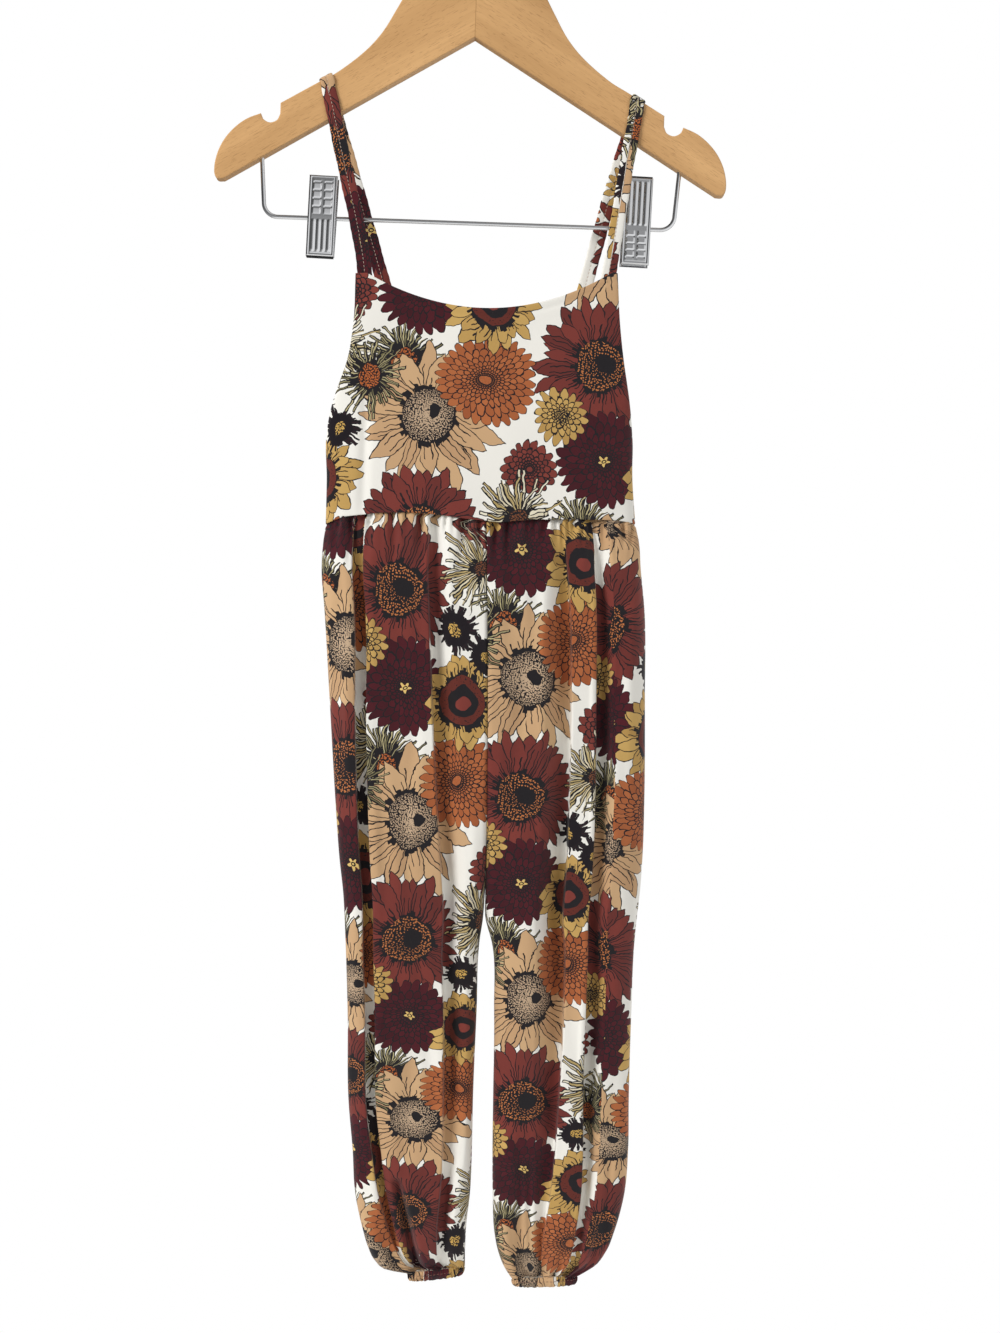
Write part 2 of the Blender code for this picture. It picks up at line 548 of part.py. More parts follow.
def inside_of(point, normal, thickness, face, side=0, edge=0.0):
    """The point this far inside the cloth's outer side, kept clear of the panels it is sewn to."""
    x = point[0] - normal[0] * thickness
    y = point[1] - normal[1] * thickness
    return side * max(side * x, side * edge) if side else x, face * max(face * y, SEAM_GAP / 2)


def resampled(line, count):
    """This many points evenly spaced along a line of points."""
    line = np.array(line, float)
    along = np.concatenate([[0], np.cumsum(np.linalg.norm(np.diff(line, axis=0), axis=1))])
    spots = np.linspace(0, along[-1], count)
    return np.stack([np.interp(spots, along, line[:, k]) for k in range(line.shape[1])], axis=1)


def bodice_section(sections, face, height):
    """The (x, y) points across the bodice at this height in mm, from the left edge to the right."""
    left = follow(sections, "height", "left", height) * MM
    right = follow(sections, "height", "right", height) * MM
    depth = follow(sections, "height", "depth", height) * MM
    stand = min(max(follow(sections, "height", "open", height), 0.0), 1.0)
    line = []
    for share in (1 - np.cos(np.linspace(0, math.pi, SECTION_POINTS))) / 2:
        bulge = rounded_end(2 * min(share, 1 - share))
        deep = depth * (stand + (1 - stand) * bulge)
        line.append((left + (right - left) * share, face * (SEAM_GAP / 2 + deep)))
    return resampled(line, BODICE_COLUMNS + 1)


def neck_height(neck, x):
    """Height of a scooped top edge above the waist seam at this place across, all in mm."""
    share = min(1.0, abs(x - neck["middle"]) / neck["half"])
    return neck["low"] + (neck["corner"] - neck["low"]) * share ** 2


def make_bodice(name, sections, neck, face, parts, material):
    """One bodice panel: face is -1 for the front and 1 for the back."""
    top = bodice_section(sections, face, neck["corner"])
    outer = []
    inner = []
    for row in range(BODICE_ROWS + 1):
        share = row / BODICE_ROWS
        points = []
        for column in range(BODICE_COLUMNS + 1):
            height = share * neck_height(neck, top[column][0] / MM)
            section = bodice_section(sections, face, height)
            x, y = section[column]
            within = inside_of((x, y), flat_normals(section, -face)[column], BODICE_THICK, face)
            level = WAIST_LEVEL + WAIST_GAP / 2 + height * MM + waist_rise(x, face) * (1 - share)
            points.append(((x, y, level), (*within, level)))
        outer.append([point[0] for point in points])
        inner.append([point[1] for point in points])
    wall(name, outer, inner, parts, material)


def leg_columns(name, along, span):
    """Places across a leg panel, as shares from the inner to the outer edge, that follow its folds."""
    stops = []
    for table in VALLEYS[name]:
        centre = follow(table, "along", "centre", along)
        half = follow(table, "along", "half", along) * MM / span
        stops.append((centre, half))
    shares = list(EDGE_STEPS)
    for centre, half in stops:
        start = shares[-1]
        shares += list(np.linspace(start, centre - half, SPAN_COLUMNS + 2)[1:])
        shares += [centre - VALLEY_FLOOR * half, centre + VALLEY_FLOOR * half, centre + half]
    shares += list(np.linspace(shares[-1], 1 - EDGE_STEPS[-1], SPAN_COLUMNS + 2)[1:])
    shares += [1 - step for step in EDGE_STEPS[-2::-1]]
    return shares, stops


def valley_depth(name, along, share, stops):
    """How far the cloth falls in at this place across, in metres."""
    deepest = 0.0
    for table, (centre, half) in zip(VALLEYS[name], stops):
        off = abs(share - centre) / half
        slope = min(max((1 - off) / (1 - VALLEY_FLOOR), 0.0), 1.0)
        depth = follow(table, "along", "depth", along) * MM
        deepest = max(deepest, depth * slope * slope * (3 - 2 * slope))
    return deepest


def leg_edges(sections, drop):
    """Inner edge, outer edge, half depth and closure of a leg at this drop in mm."""
    inner, outer, depth = (follow(sections, "drop", key, drop) * MM for key in ("inner", "outer", "depth"))
    return inner, outer, depth, min(max(follow(sections, "drop", "closed", drop), 0.0), 1.0)


def leg_section(name, sections, face, drop):
    """The plain (x, y) points of a leg panel at this drop, from its inner edge to the side seam."""
    inner, outer, depth, closed = leg_edges(sections, drop)
    side = math.copysign(1, outer)
    inner += side * SEAM_GAP / 2
    along = drop / sections[-1]["drop"]
    shares, stops = leg_columns(name, along, abs(outer - inner))
    line = []
    for share in shares:
        bulge = rounded_end(2 * (1 - share)) * (1 - closed + closed * rounded_end(2 * share))
        deep = depth * bulge - valley_depth(name, along, share, stops)
        line.append((inner + (outer - inner) * share, face * (SEAM_GAP / 2 + deep)))
    return line, flat_normals(line, -face * side)


def hem_tilt(sections, slope, drop, x):
    """Height that the tilt of the hem adds at this place, fading out above it."""
    last = sections[-1]
    fade = min(max(1 - (last["drop"] - drop) / HEM_TILT_REACH, 0.0), 1.0)
    middle = (last["inner"] + last["outer"]) / 2 * MM
    return slope * (x - middle) * fade * fade


def make_leg(name, sections, slope, face, parts, material):
    """One leg panel, gathered at the waist seam and at the hem."""
    length = sections[-1]["drop"]
    side = math.copysign(1, sections[0]["outer"])
    drops = leg_rows(length)
    outer = []
    inner = []
    for drop in drops:
        line, normals = leg_section(name, sections, face, drop)
        waist_fade = max(0.0, 1 - drop * MM / WAIST_GATHER["reach"]) ** 2
        hem_fade = max(0.0, 1 - (length - drop) * MM / HEM_GATHER["reach"])
        gather = WAIST_GATHER["height"] * waist_fade + HEM_GATHER["height"] * hem_fade
        outside = []
        inside = []
        for column, ((x, y), (nx, ny)) in enumerate(zip(line, normals)):
            ripple = gather * (column % 2) * (0 < column < len(line) - 1)
            level = WAIST_LEVEL - WAIST_GAP / 2 - drop * MM + hem_tilt(sections, slope, drop, x)
            level += waist_rise(x, face) * max(0.0, 1 - drop / WAIST_WAVE_REACH)
            outside.append((x + nx * ripple, y + ny * ripple, level))
            within = inside_of((x, y), (nx, ny), CLOTH_THICK, face, side, line[0][0])
            inside.append((*within, level))
        outer.append(outside)
        inner.append(inside)
    wall(name, outer, inner, parts, material)


def leg_rows(length):
    """Drops of a leg's rows in mm, closer together at the waist, at the crotch and at the hem."""
    even = np.linspace(0, 1, LEG_ROWS + 1)
    once, twice = (np.sin(2 * math.pi * turns * even) for turns in (1, 2))
    return list((even - ROW_BUNCHING[0] * once - ROW_BUNCHING[1] * twice) * length)


def make_cuff(name, cuff, parts, material):
    """An elastic casing: a short crimped tube round the hem, open at both ends."""
    last = cuff["sections"][-1]
    ends = sorted((last["inner"] * MM, last["outer"] * MM))
    middle, half = (ends[0] + ends[1]) / 2, (ends[1] - ends[0]) / 2
    top = WAIST_LEVEL - WAIST_GAP / 2 - last["drop"] * MM - CUFF_GAP
    angles = np.linspace(0, 2 * math.pi, CUFF_COLUMNS, endpoint=False)
    rings = []
    for share, inset in ((0, 0.0), (0.5, 0.0), (1, 0.0), (1, CLOTH_THICK), (0, CLOTH_THICK)):
        ring = []
        for column, angle in enumerate(angles):
            swell = cuff["bulge"] * MM * math.sin(math.pi * share)
            crimp = CUFF_CRIMP * (column % 2) if inset == 0 else 0.0
            c, s = math.cos(angle), math.sin(angle)
            x = middle + (half + swell + crimp - inset) * math.copysign(abs(c) ** CUFF_SQUARENESS, c)
            y = (last["depth"] * MM + swell + crimp - inset) * math.copysign(abs(s) ** CUFF_SQUARENESS, s)
            ring.append((x, y, top - CUFF_HEIGHT * share + cuff["slope"] * (x - middle)))
        rings.append(ring)
    shape = bmesh.new()
    verts = [[shape.verts.new(point) for point in ring] for ring in rings]
    for low, high in zip(verts, verts[1:] + verts[:1]):
        for c in range(CUFF_COLUMNS):
            after = (c + 1) % CUFF_COLUMNS
            shape.faces.new((low[c], low[after], high[after], high[c]))
    closed_object(name, shape, parts, material)


def strap_route(strap):
    """Places down the middle of a strap with its lean, from the front end over the wood to the back."""
    x, z = (value * MM for value in strap["top"])
    slope = math.radians(strap["slope"])
    across = Vector((-math.sin(slope), 0, math.cos(slope)))
    lift = SEAM_GAP + STRAP_THICK / 2
    radius = WOOD_EDGE + lift
    corner = WOOD_THICK / 2 - WOOD_EDGE
    route = [(Vector(row[:3]) * MM, math.radians(row[3])) for row in strap["front"]]
    for face in (-1, 1):
        steps = np.radians(np.linspace(0, 90, STRAP_CORNER_STEPS))
        for angle in steps if face < 0 else steps[::-1]:
            up = radius * math.sin(angle) - WOOD_EDGE
            spot = Vector((x, face * (corner + radius * math.cos(angle)), z)) + across * up
            route.append((spot, slope))
    route += [(Vector(row[:3]) * MM, math.radians(row[3])) for row in strap["back"]]
    return route


def make_strap(name, strap, parts, material):
    """A flat strap swept along its route."""
    route = strap_route(strap)
    places = np.array([spot for spot, _ in route])
    tangents = np.gradient(places, axis=0)
    shape = bmesh.new()
    rings = []
    for (spot, lean), tangent in zip(route, tangents):
        wide = Vector((math.cos(lean), 0, math.sin(lean)))
        thick = Vector(tangent).cross(wide).normalized()
        ring = [spot + wide * (a * STRAP_WIDTH / 2) + thick * (b * STRAP_THICK / 2)
                for a, b in ((-1, -1), (1, -1), (1, 1), (-1, 1))]
        rings.append([shape.verts.new(point) for point in ring])
    for low, high in zip(rings, rings[1:]):
        for c in range(4):
            shape.faces.new((low[c], low[(c + 1) % 4], high[(c + 1) % 4], high[c]))
    shape.faces.new(rings[0])
    shape.faces.new(rings[-1])
    closed_object(name, shape, parts, material)


def main():
    clear_scene()
    parts = bpy.data.collections.new("romper_on_hanger")
    cutters = bpy.data.collections.new("cutters")
    for collection in (parts, cutters):
        bpy.context.scene.collection.children.link(collection)
    wood = finish("wood", (0.62, 0.38, 0.17), 0.45)
    steel = finish("chromed_steel", (0.72, 0.73, 0.74), 0.18, 1.0)
    rubber = finish("black_rubber", (0.02, 0.02, 0.02), 0.6)
    cloth = finish("printed_jersey", (0.48, 0.24, 0.16), 0.8)
    make_wood(parts, cutters, wood)
    make_hook(parts, steel)
    make_bar(parts, steel)
    for clip in CLIPS:
        make_clip(clip, parts, cutters, steel, rubber)
    make_bodice("bodice_front", BODICE_FRONT_SECTIONS, FRONT_NECK, -1, parts, cloth)
    make_bodice("bodice_back", BODICE_BACK_SECTIONS, BACK_NECK, 1, parts, cloth)
    for side, sections in (("left", LEG_LEFT_SECTIONS), ("right", LEG_RIGHT_SECTIONS)):
        slope = CUFFS["cuff_" + side]["slope"]
        make_leg("leg_front_" + side, sections, slope, -1, parts, cloth)
        make_leg("leg_back_" + side, sections, slope, 1, parts, cloth)
    for name, cuff in CUFFS.items():
        make_cuff(name, cuff, parts, cloth)
    for name, strap in STRAPS.items():
        make_strap(name, strap, parts, cloth)


main()
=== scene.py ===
"""A child's printed jersey romper on a wooden clip hanger, in metres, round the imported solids.

+Z is up and the front faces -Y. Left and right are the sides seen from the front. Sizes in the
tables are in millimetres and repeat the solids' own.
"""

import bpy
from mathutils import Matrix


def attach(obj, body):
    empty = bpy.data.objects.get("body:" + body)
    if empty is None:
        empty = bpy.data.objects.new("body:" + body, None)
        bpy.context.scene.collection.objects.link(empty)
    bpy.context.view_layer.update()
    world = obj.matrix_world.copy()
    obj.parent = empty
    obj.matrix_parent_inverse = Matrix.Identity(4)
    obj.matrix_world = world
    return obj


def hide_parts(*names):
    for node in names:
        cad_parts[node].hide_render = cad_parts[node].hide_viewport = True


bl_info = {
    "name": "Romper on a hanger",
    "version": (1, 0, 0),
    "blender": (4, 5, 0),
    "location": "View3D > Sidebar > Romper",
    "description": "Dresses the solids of a printed romper on a wooden hanger",
    "category": "Object",
}

import math

import bmesh
import bpy
import numpy as np
from mathutils import Matrix, Vector

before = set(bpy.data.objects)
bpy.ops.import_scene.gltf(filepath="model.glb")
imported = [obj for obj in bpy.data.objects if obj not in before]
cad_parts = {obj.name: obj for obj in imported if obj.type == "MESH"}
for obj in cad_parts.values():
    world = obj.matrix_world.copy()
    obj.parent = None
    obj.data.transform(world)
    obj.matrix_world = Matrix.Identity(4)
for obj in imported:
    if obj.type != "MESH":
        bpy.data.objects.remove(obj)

MM = 0.001
TURN = 2 * math.pi
CLOTH_GAP = 0.04 * MM
WAIST_GAP = 0.5 * MM

# Hanger sizes, in a frame of its own: across and up from the point under the middle of the wood
HANGER_TILT = math.radians(1.97)
HOOK_TOP = 121 * MM
WOOD_THICK = 12 * MM
WOOD_EDGE = 1.0 * MM
NECK_TOP = 66 * MM
HOOK_WIRE = 3.4 * MM
HOOK_INNER_RADIUS = 19 * MM
HOOK_SHANK_FOOT = 46 * MM
HOOK_SHANK_BENDS = ((0, 8), (1.2, 12.5))
HOOK_TURN = (math.radians(-62), math.radians(205))
BAR_WIRE = 3.0 * MM
BAR_LEVEL = -129 * MM
BAR_HALF_TOP = 146 * MM
BAR_HALF_FOOT = 143.8 * MM
BAR_BEND = 10 * MM
BAR_SOCKET = 10 * MM
WOOD_UNDER_SLOPE = 0.608
WOOD_JOINT = 0.56 * MM
WOOD_JOINT_FOOT = 2 * MM
WOOD_STEPS = {"end": 6, "notch": 6, "upper": 8}

# Half of the wood's outline, from the middle of the underside round the end to the top of the neck
WOOD_UNDERSIDE = ((0, 0), (172, -104.6))
WOOD_END = ((172, -104.6), (176.6, -104.4), (178.6, -100.5), (178.4, -93), (176, -84), (171.5, -75.5),
            (165, -68), (157, -62), (147.5, -58))
WOOD_NOTCH = ((147.5, -58), (145.6, -62), (141, -64.2), (136.2, -62.4), (134, -58), (134, -50.4))
WOOD_UPPER = ((134, -50.4), (108.8, -35.5), (94.7, -27.3), (77.3, -13.2), (64.9, 1), (55, 18.2),
              (47.2, 33), (41.5, 45), (33.5, 55), (20, 63), (0, 66))

# Clips on the bar. A plate has ribs on its jaw, in a field this far to each side of the middle, and
# rows of louvres on its grip.
CLIP_WIDTH = 20 * MM
CLIP_WALL = 0.8 * MM
CLIP_JAW_DEPTH = 3.0 * MM
CLIP_PIVOT_DEPTH = 6.4 * MM
CLIP_GRIP_DEPTH = 8.0 * MM
CLIP_EAR = 6 * MM
CLIP_LEAN = math.radians(3.4)
CLIP_DROP = 0.1 * MM
RIB_FIELD = 7.5
RIB_PITCH = 3.75
LOUVRES = 4
PLATE_GRID = (60, 118)
SPRING_TURNS = 7
SPRING_RADIUS = 2.9 * MM
SPRING_HALF = 5.6
CLIPS = (
    {"name": "clip_left", "along": -102.6, "grip": 29, "jaw": 27, "jaw_up": False},
    {"name": "clip_right", "along": 117.2, "grip": 26, "jaw": 36, "jaw_up": True},
)

# Cloth: the waist seam's level, the points of a section, and how square a panel's side edge turns
WAIST_LEVEL = -458.2 * MM
SECTION_POINTS = 641
BODICE_LEVELS = 120
CORNER_SHARPNESS = 4.0
# How far a fold's crisp lip leans over its valley, and how far its crown stands out beside it, with
# the place and width of each in half widths of the valley, and the depth that gives them in full
LIP_LEAN = 1.1 * MM
LIP_PLACE = (1.12, 0.42)
FOLD_CROWN = 1.1 * MM
CROWN_PLACE = (1.75, 0.6)
FULL_VALLEY = 12
# How far a leg panel tucks in under the bodice, and under its neighbour at the seat seam
SEAM_TUCK = 1.4 * MM
# Stretches above the hem, in millimetres, where the cloth is drawn up and where it tilts, and its drop
HEM_GATHER = 62
HEM_TILT_REACH = 60
HEM_DROP = 1.6 * MM
# The ridge along the seat seam: height and half width, in millimetres
SEAT_SEAM = (0.8, 1.8)
# Small puckers fade within this distance of a side edge, and all dents where a panel is shallower
EDGE_REACH = 12 * MM
SHALLOW = 6 * MM
# How far down the leg the waist seam's wave dies out and the soft waves begin, and how the seam's wave
# gathers at the sides behind
WAIST_WAVE_REACH = 40
BACK_WAVE_POWER = 6
# Gathers of a leg panel: count, with the least and most reach, half width and depth of each. At the
# waist, the first two numbers are how far the gathers keep from the panel's edges.
WAIST_GATHERS = (
    (3, 4, 8, (34, 92), (2.2, 3.4), (3.2, 6.4)),
    (2, 2, 21, (16, 44), (1.1, 1.8), (2.2, 4.6)),
    (1, 1, 28, (4, 12), (0.7, 1.1), (0.8, 1.6)),
)
HEM_GATHERS = ((8, (26, 80), (1.8, 3.0), (3.4, 7.0)), (18, (7, 26), (0.9, 1.5), (1.4, 3.2)))
# Soft unevenness: how many waves add up, by what their sum is divided, and their height, width and
# length on each kind of panel
WAVES = 7
WAVE_SUM = 2.6
LEG_WAVES = (1.1, 46, 260)
LEG_RIPPLES = (0.5, 17, 130)
BODICE_WAVES = (0.55, 60, 120)
# The gathers above the bodice's waist seam, from side to side and as above
BODICE_GATHER_ENDS = (-100, 100)
BODICE_GATHERS = (26, (8, 34), (1.6, 3.4), (0.12, 0.42))
# Small waves fade within this distance of the waist seam and the top edge, in millimetres
BODICE_FADE = 14
# The line sewn along the top edges: its depth, and how far below the edge it runs
NECK_SEAM = 0.35 * MM
NECK_HEM = 5.5
# Where a rounded border has its points, as shares of its width from the edge, and how thin the edge is
BORDER_STEPS = (0.0, 0.06, 0.25, 0.55)
BORDER_EDGE = 0.012
# Points across and down each kind of panel, and round and down a casing, besides their borders
BODICE_GRID = (180, 124)
LEG_GRIDS = {"front": (162, 240), "back": (112, 190)}
CUFF_GRID = (380, 14)

# The front of the waist seam rises and dips a little: place across, and height
WAIST_WAVE = ((-109, -2.8), (-95, 2.0), (-70, 4.6), (-50, 4.8), (-30, 3.2), (-8, 0.0), (13, -2.1),
              (34, -0.5), (66, 0.0), (95, -0.7), (109, -2.8))

# Bodice sections: height above the waist seam, the two edges, half depth, and how open each edge
# stands, from 0 at a side seam to 1 where the edge lies as deep as the middle
BODICE_COLUMNS = ("height", "left", "right", "depth", "open")
BODICE_FRONT_SECTIONS = (
    (0, -108.5, 107.8, 17.0, 0.0), (30, -107.8, 105.9, 16.5, 0.0), (63, -107.8, 105.7, 15.5, 0.0),
    (74, -105.8, 104.7, 15.0, 0.25), (85, -102.6, 103.4, 14.5, 0.48), (97, -98.0, 101.6, 14.2, 0.62),
    (108, -93.8, 99.9, 14.0, 0.7), (134, -88.9, 97.0, 13.5, 0.8), (171, -87.2, 95.2, 13.0, 0.85),
)
BODICE_BACK_SECTIONS = (
    (0, -108.5, 107.8, 17.0, 0.0), (30, -107.8, 105.9, 16.5, 0.0), (63, -107.8, 105.7, 15.5, 0.0),
    (80, -104.0, 102.5, 14.6, 0.35), (95, -97.0, 96.5, 13.6, 0.6), (110, -87.0, 88.0, 12.8, 0.72),
    (125, -76.5, 79.0, 12.0, 0.82), (141, -67.5, 73.0, 11.4, 0.88),
)
# The scooped top edges: height of the lowest point and of the corners, middle and half width
FRONT_NECK = {"low": 147.0, "corner": 171.5, "middle": 6.0, "half": 85.0}
BACK_NECK = {"low": 133.0, "corner": 141.0, "middle": 3.0, "half": 60.0}

# Leg sections: drop below the waist seam, outer and inner edge, half depth, and how far the front
# and back have closed on each other at the inner edge, from 0 at the seat to 1 below the crotch
LEG_COLUMNS = ("drop", "outer", "inner", "depth", "closed")
LEG_SECTIONS = {"left": (
    (0, -108.5, 4.0, 17.0, 0.0), (12, -110.2, 4.2, 19.5, 0.0), (34, -111.3, 4.4, 22.5, 0.0),
    (62, -109.2, 4.6, 24.0, 0.0), (122, -105.7, 4.8, 25.0, 0.0), (195, -101.5, 4.2, 25.0, 0.12),
    (235, -98.7, 3.4, 24.0, 0.4), (262, -95.9, 2.4, 22.5, 0.8), (276, -95.2, 1.6, 21.5, 1.0),
    (294, -94.5, -1.0, 21.0, 1.0), (342, -93.1, -3.0, 20.0, 1.0), (405, -92.4, -5.6, 20.0, 1.0),
    (438, -89.6, -6.3, 20.5, 1.0), (470, -87.5, -7.7, 21.0, 1.0), (491, -82.6, -10.2, 20.5, 1.0),
    (502, -79.0, -10.8, 19.0, 1.0), (511, -74.0, -11.2, 16.5, 1.0), (517, -66.5, -11.2, 14.0, 1.0),
    (521, -52.0, -11.2, 11.0, 1.0),
), "right": (
    (0, 107.8, 4.0, 17.0, 0.0), (12, 110.2, 4.2, 19.5, 0.0), (34, 111.6, 4.4, 22.5, 0.0),
    (62, 114.1, 4.6, 24.0, 0.0), (122, 114.4, 4.8, 25.0, 0.0), (195, 114.0, 4.2, 25.0, 0.12),
    (235, 112.7, 3.4, 24.0, 0.4), (262, 110.6, 2.9, 22.5, 0.8), (276, 108.9, 2.9, 21.5, 1.0),
    (294, 107.1, 7.5, 21.0, 1.0), (342, 105.0, 9.1, 20.0, 1.0), (405, 103.2, 8.4, 20.0, 1.0),
    (438, 102.8, 8.0, 20.5, 1.0), (470, 99.9, 8.1, 21.0, 1.0), (495, 93.0, 9.3, 20.5, 1.0),
    (508, 87.8, 12.0, 18.5, 1.0), (518, 80.5, 16.0, 15.5, 1.0), (526, 68.0, 21.0, 11.5, 1.0),
)}
# Valleys between the folds: at each share of the leg's length, the centre as a share of the way
# from the inner to the outer edge, with depth and half width. "inner" and "outer" stretch the
# slope on that side, so that a fold can be crisp on one side and soft on the other. "floor" is the
# flat share of the bottom, and "hidden" the cloth that lies folded away beside it.
VALLEY_COLUMNS = ("along", "centre", "depth", "half")
VALLEYS = {
    "leg_front_left": (
        {"inner": 3.0, "outer": 0.45, "floor": 0.1, "hidden": 0, "rows": (
            (0.0, 0.35, 2.5, 4.0), (0.12, 0.35, 7.5, 5.5), (0.38, 0.32, 10.0, 6.0),
            (0.56, 0.265, 10.0, 5.5), (0.85, 0.23, 8.0, 5.0), (1.0, 0.30, 2.0, 2.2))},
        {"inner": 0.8, "outer": 0.8, "floor": 0.8, "hidden": 66, "rows": (
            (0.0, 0.782, 5.0, 5.4), (0.1, 0.776, 8.5, 6.0), (0.31, 0.81, 9.5, 6.2),
            (0.66, 0.82, 9.0, 5.6), (0.85, 0.79, 7.0, 5.0), (1.0, 0.66, 2.5, 2.4))},
    ),
    "leg_front_right": (
        {"inner": 3.0, "outer": 0.45, "floor": 0.1, "hidden": 0, "rows": (
            (0.0, 0.50, 2.5, 4.0), (0.1, 0.51, 8.5, 6.0), (0.45, 0.50, 12.0, 6.5),
            (0.75, 0.47, 10.5, 6.0), (1.0, 0.38, 2.5, 2.2))},
        {"inner": 0.45, "outer": 2.6, "floor": 0.15, "hidden": 46, "rows": (
            (0.0, 0.71, 2.5, 3.6), (0.1, 0.70, 8.5, 4.4), (0.45, 0.69, 10.5, 4.8),
            (0.75, 0.67, 11.0, 4.8), (1.0, 0.68, 3.0, 2.4))},
    ),
    "leg_back_left": (
        {"inner": 2.6, "outer": 0.5, "floor": 0.1, "hidden": 0, "rows": (
            (0.0, 0.33, 3.0, 5.0), (0.15, 0.34, 9.0, 6.0), (0.6, 0.30, 10.0, 5.5), (1.0, 0.34, 2.5, 2.6))},
        {"inner": 0.5, "outer": 2.4, "floor": 0.2, "hidden": 40, "rows": (
            (0.0, 0.68, 3.0, 5.0), (0.15, 0.70, 8.0, 5.5), (0.6, 0.72, 9.0, 5.0), (1.0, 0.68, 2.5, 2.6))},
    ),
    "leg_back_right": (
        {"inner": 0.5, "outer": 2.6, "floor": 0.1, "hidden": 0, "rows": (
            (0.0, 0.28, 3.0, 5.0), (0.15, 0.27, 8.0, 6.0), (0.6, 0.33, 9.0, 5.5), (1.0, 0.33, 2.5, 2.6))},
        {"inner": 2.4, "outer": 0.5, "floor": 0.2, "hidden": 40, "rows": (
            (0.0, 0.62, 3.0, 5.0), (0.15, 0.64, 10.0, 5.5), (0.6, 0.70, 9.0, 5.0), (1.0, 0.67, 2.5, 2.6))},
    ),
}
# How the print runs on each panel: the place across and the drop where a russet sunflower's middle
# lies, and the length of cloth from there at each drop. Cloth is shorter where it blouses.
PRINT_RUN = {
    "leg_front_left": {"across": -56.7, "drop": 48.3, "cloth": (
        (0, -47.5), (48.3, 0), (293.3, 240), (478.8, 480), (521, 535))},
    "leg_front_right": {"across": 27.3, "drop": 191.8, "cloth": (
        (0, -194), (111.3, -83), (191.8, 0), (331.8, 157), (405.3, 240), (450.8, 306), (526, 405))},
    "leg_back_left": {"across": -40, "drop": 130, "cloth": ((0, -130), (300, 170), (521, 430))},
    "leg_back_right": {"across": 62, "drop": 70, "cloth": ((0, -70), (300, 230), (526, 500))},
    "bodice_front": {"across": 83.3, "height": 107.1},
    "bodice_back": {"across": -20, "height": 40},
}
# Long soft creases: panel, start and end as place across and height, half width and depth
CREASES = {
    "bodice_front": ((-79, -352, -82, -456, 3.6, 1.9), (-66, -330, -72, -372, 6.0, 0.8),
                     (72, -395, 96, -448, 7.0, 0.9), (-30, -420, -26, -456, 4.0, 0.8)),
    "bodice_back": ((60, -380, 66, -450, 5.0, 0.9), (-50, -360, -58, -440, 6.0, 0.7)),
    "leg_front_left": ((-58, -918, -42, -986, 3.2, 11.0), (-72, -880, -60, -972, 3.0, 2.0),
                       (-20, -900, -30, -980, 2.6, 1.8), (-100, -520, -98, -640, 4.0, 1.0),
                       (-47, -610, -52, -760, 5.0, 0.8), (-66, -780, -70, -930, 4.5, 0.9)),
    "leg_front_right": ((26, -890, 27, -978, 2.4, 2.2), (33, -905, 35, -980, 2.2, 2.0),
                        (75, -900, 66, -982, 2.8, 2.4), (90, -900, 84, -975, 2.6, 1.8),
                        (36, -500, 40, -640, 5.0, 1.2), (97, -540, 101, -760, 4.5, 0.9)),
    "leg_back_left": ((-60, -900, -50, -980, 3.0, 2.4), (-50, -480, -54, -640, 5.0, 1.4)),
    "leg_back_right": ((70, -900, 60, -980, 3.0, 2.4), (80, -490, 86, -660, 5.0, 1.4)),
}

# Elastic casings at the hems: height, gap above, how far they narrow towards the foot and lie inside
# the leg's own outline, crimps as counts round the casing and heights, and the row of their stitches
CUFF_HEIGHT = 5.2 * MM
CUFF_SQUARENESS = 0.75
CUFF_GAP = 0.45 * MM
CUFF_TAPER = 1.5 * MM
CUFF_INSET = 2.0 * MM
CUFF_CRIMPS = ((31, 0.9), (44, 0.6), (19, 0.6))
CUFF_STITCH_ROW = 7
CUFF_STITCH_RISE = 0.1 * MM
CUFFS = {
    "cuff_left": {"leg": "left", "slope": 0.11, "bulge": 0.5},
    "cuff_right": {"leg": "right", "slope": 0.03, "bulge": 0.5},
}

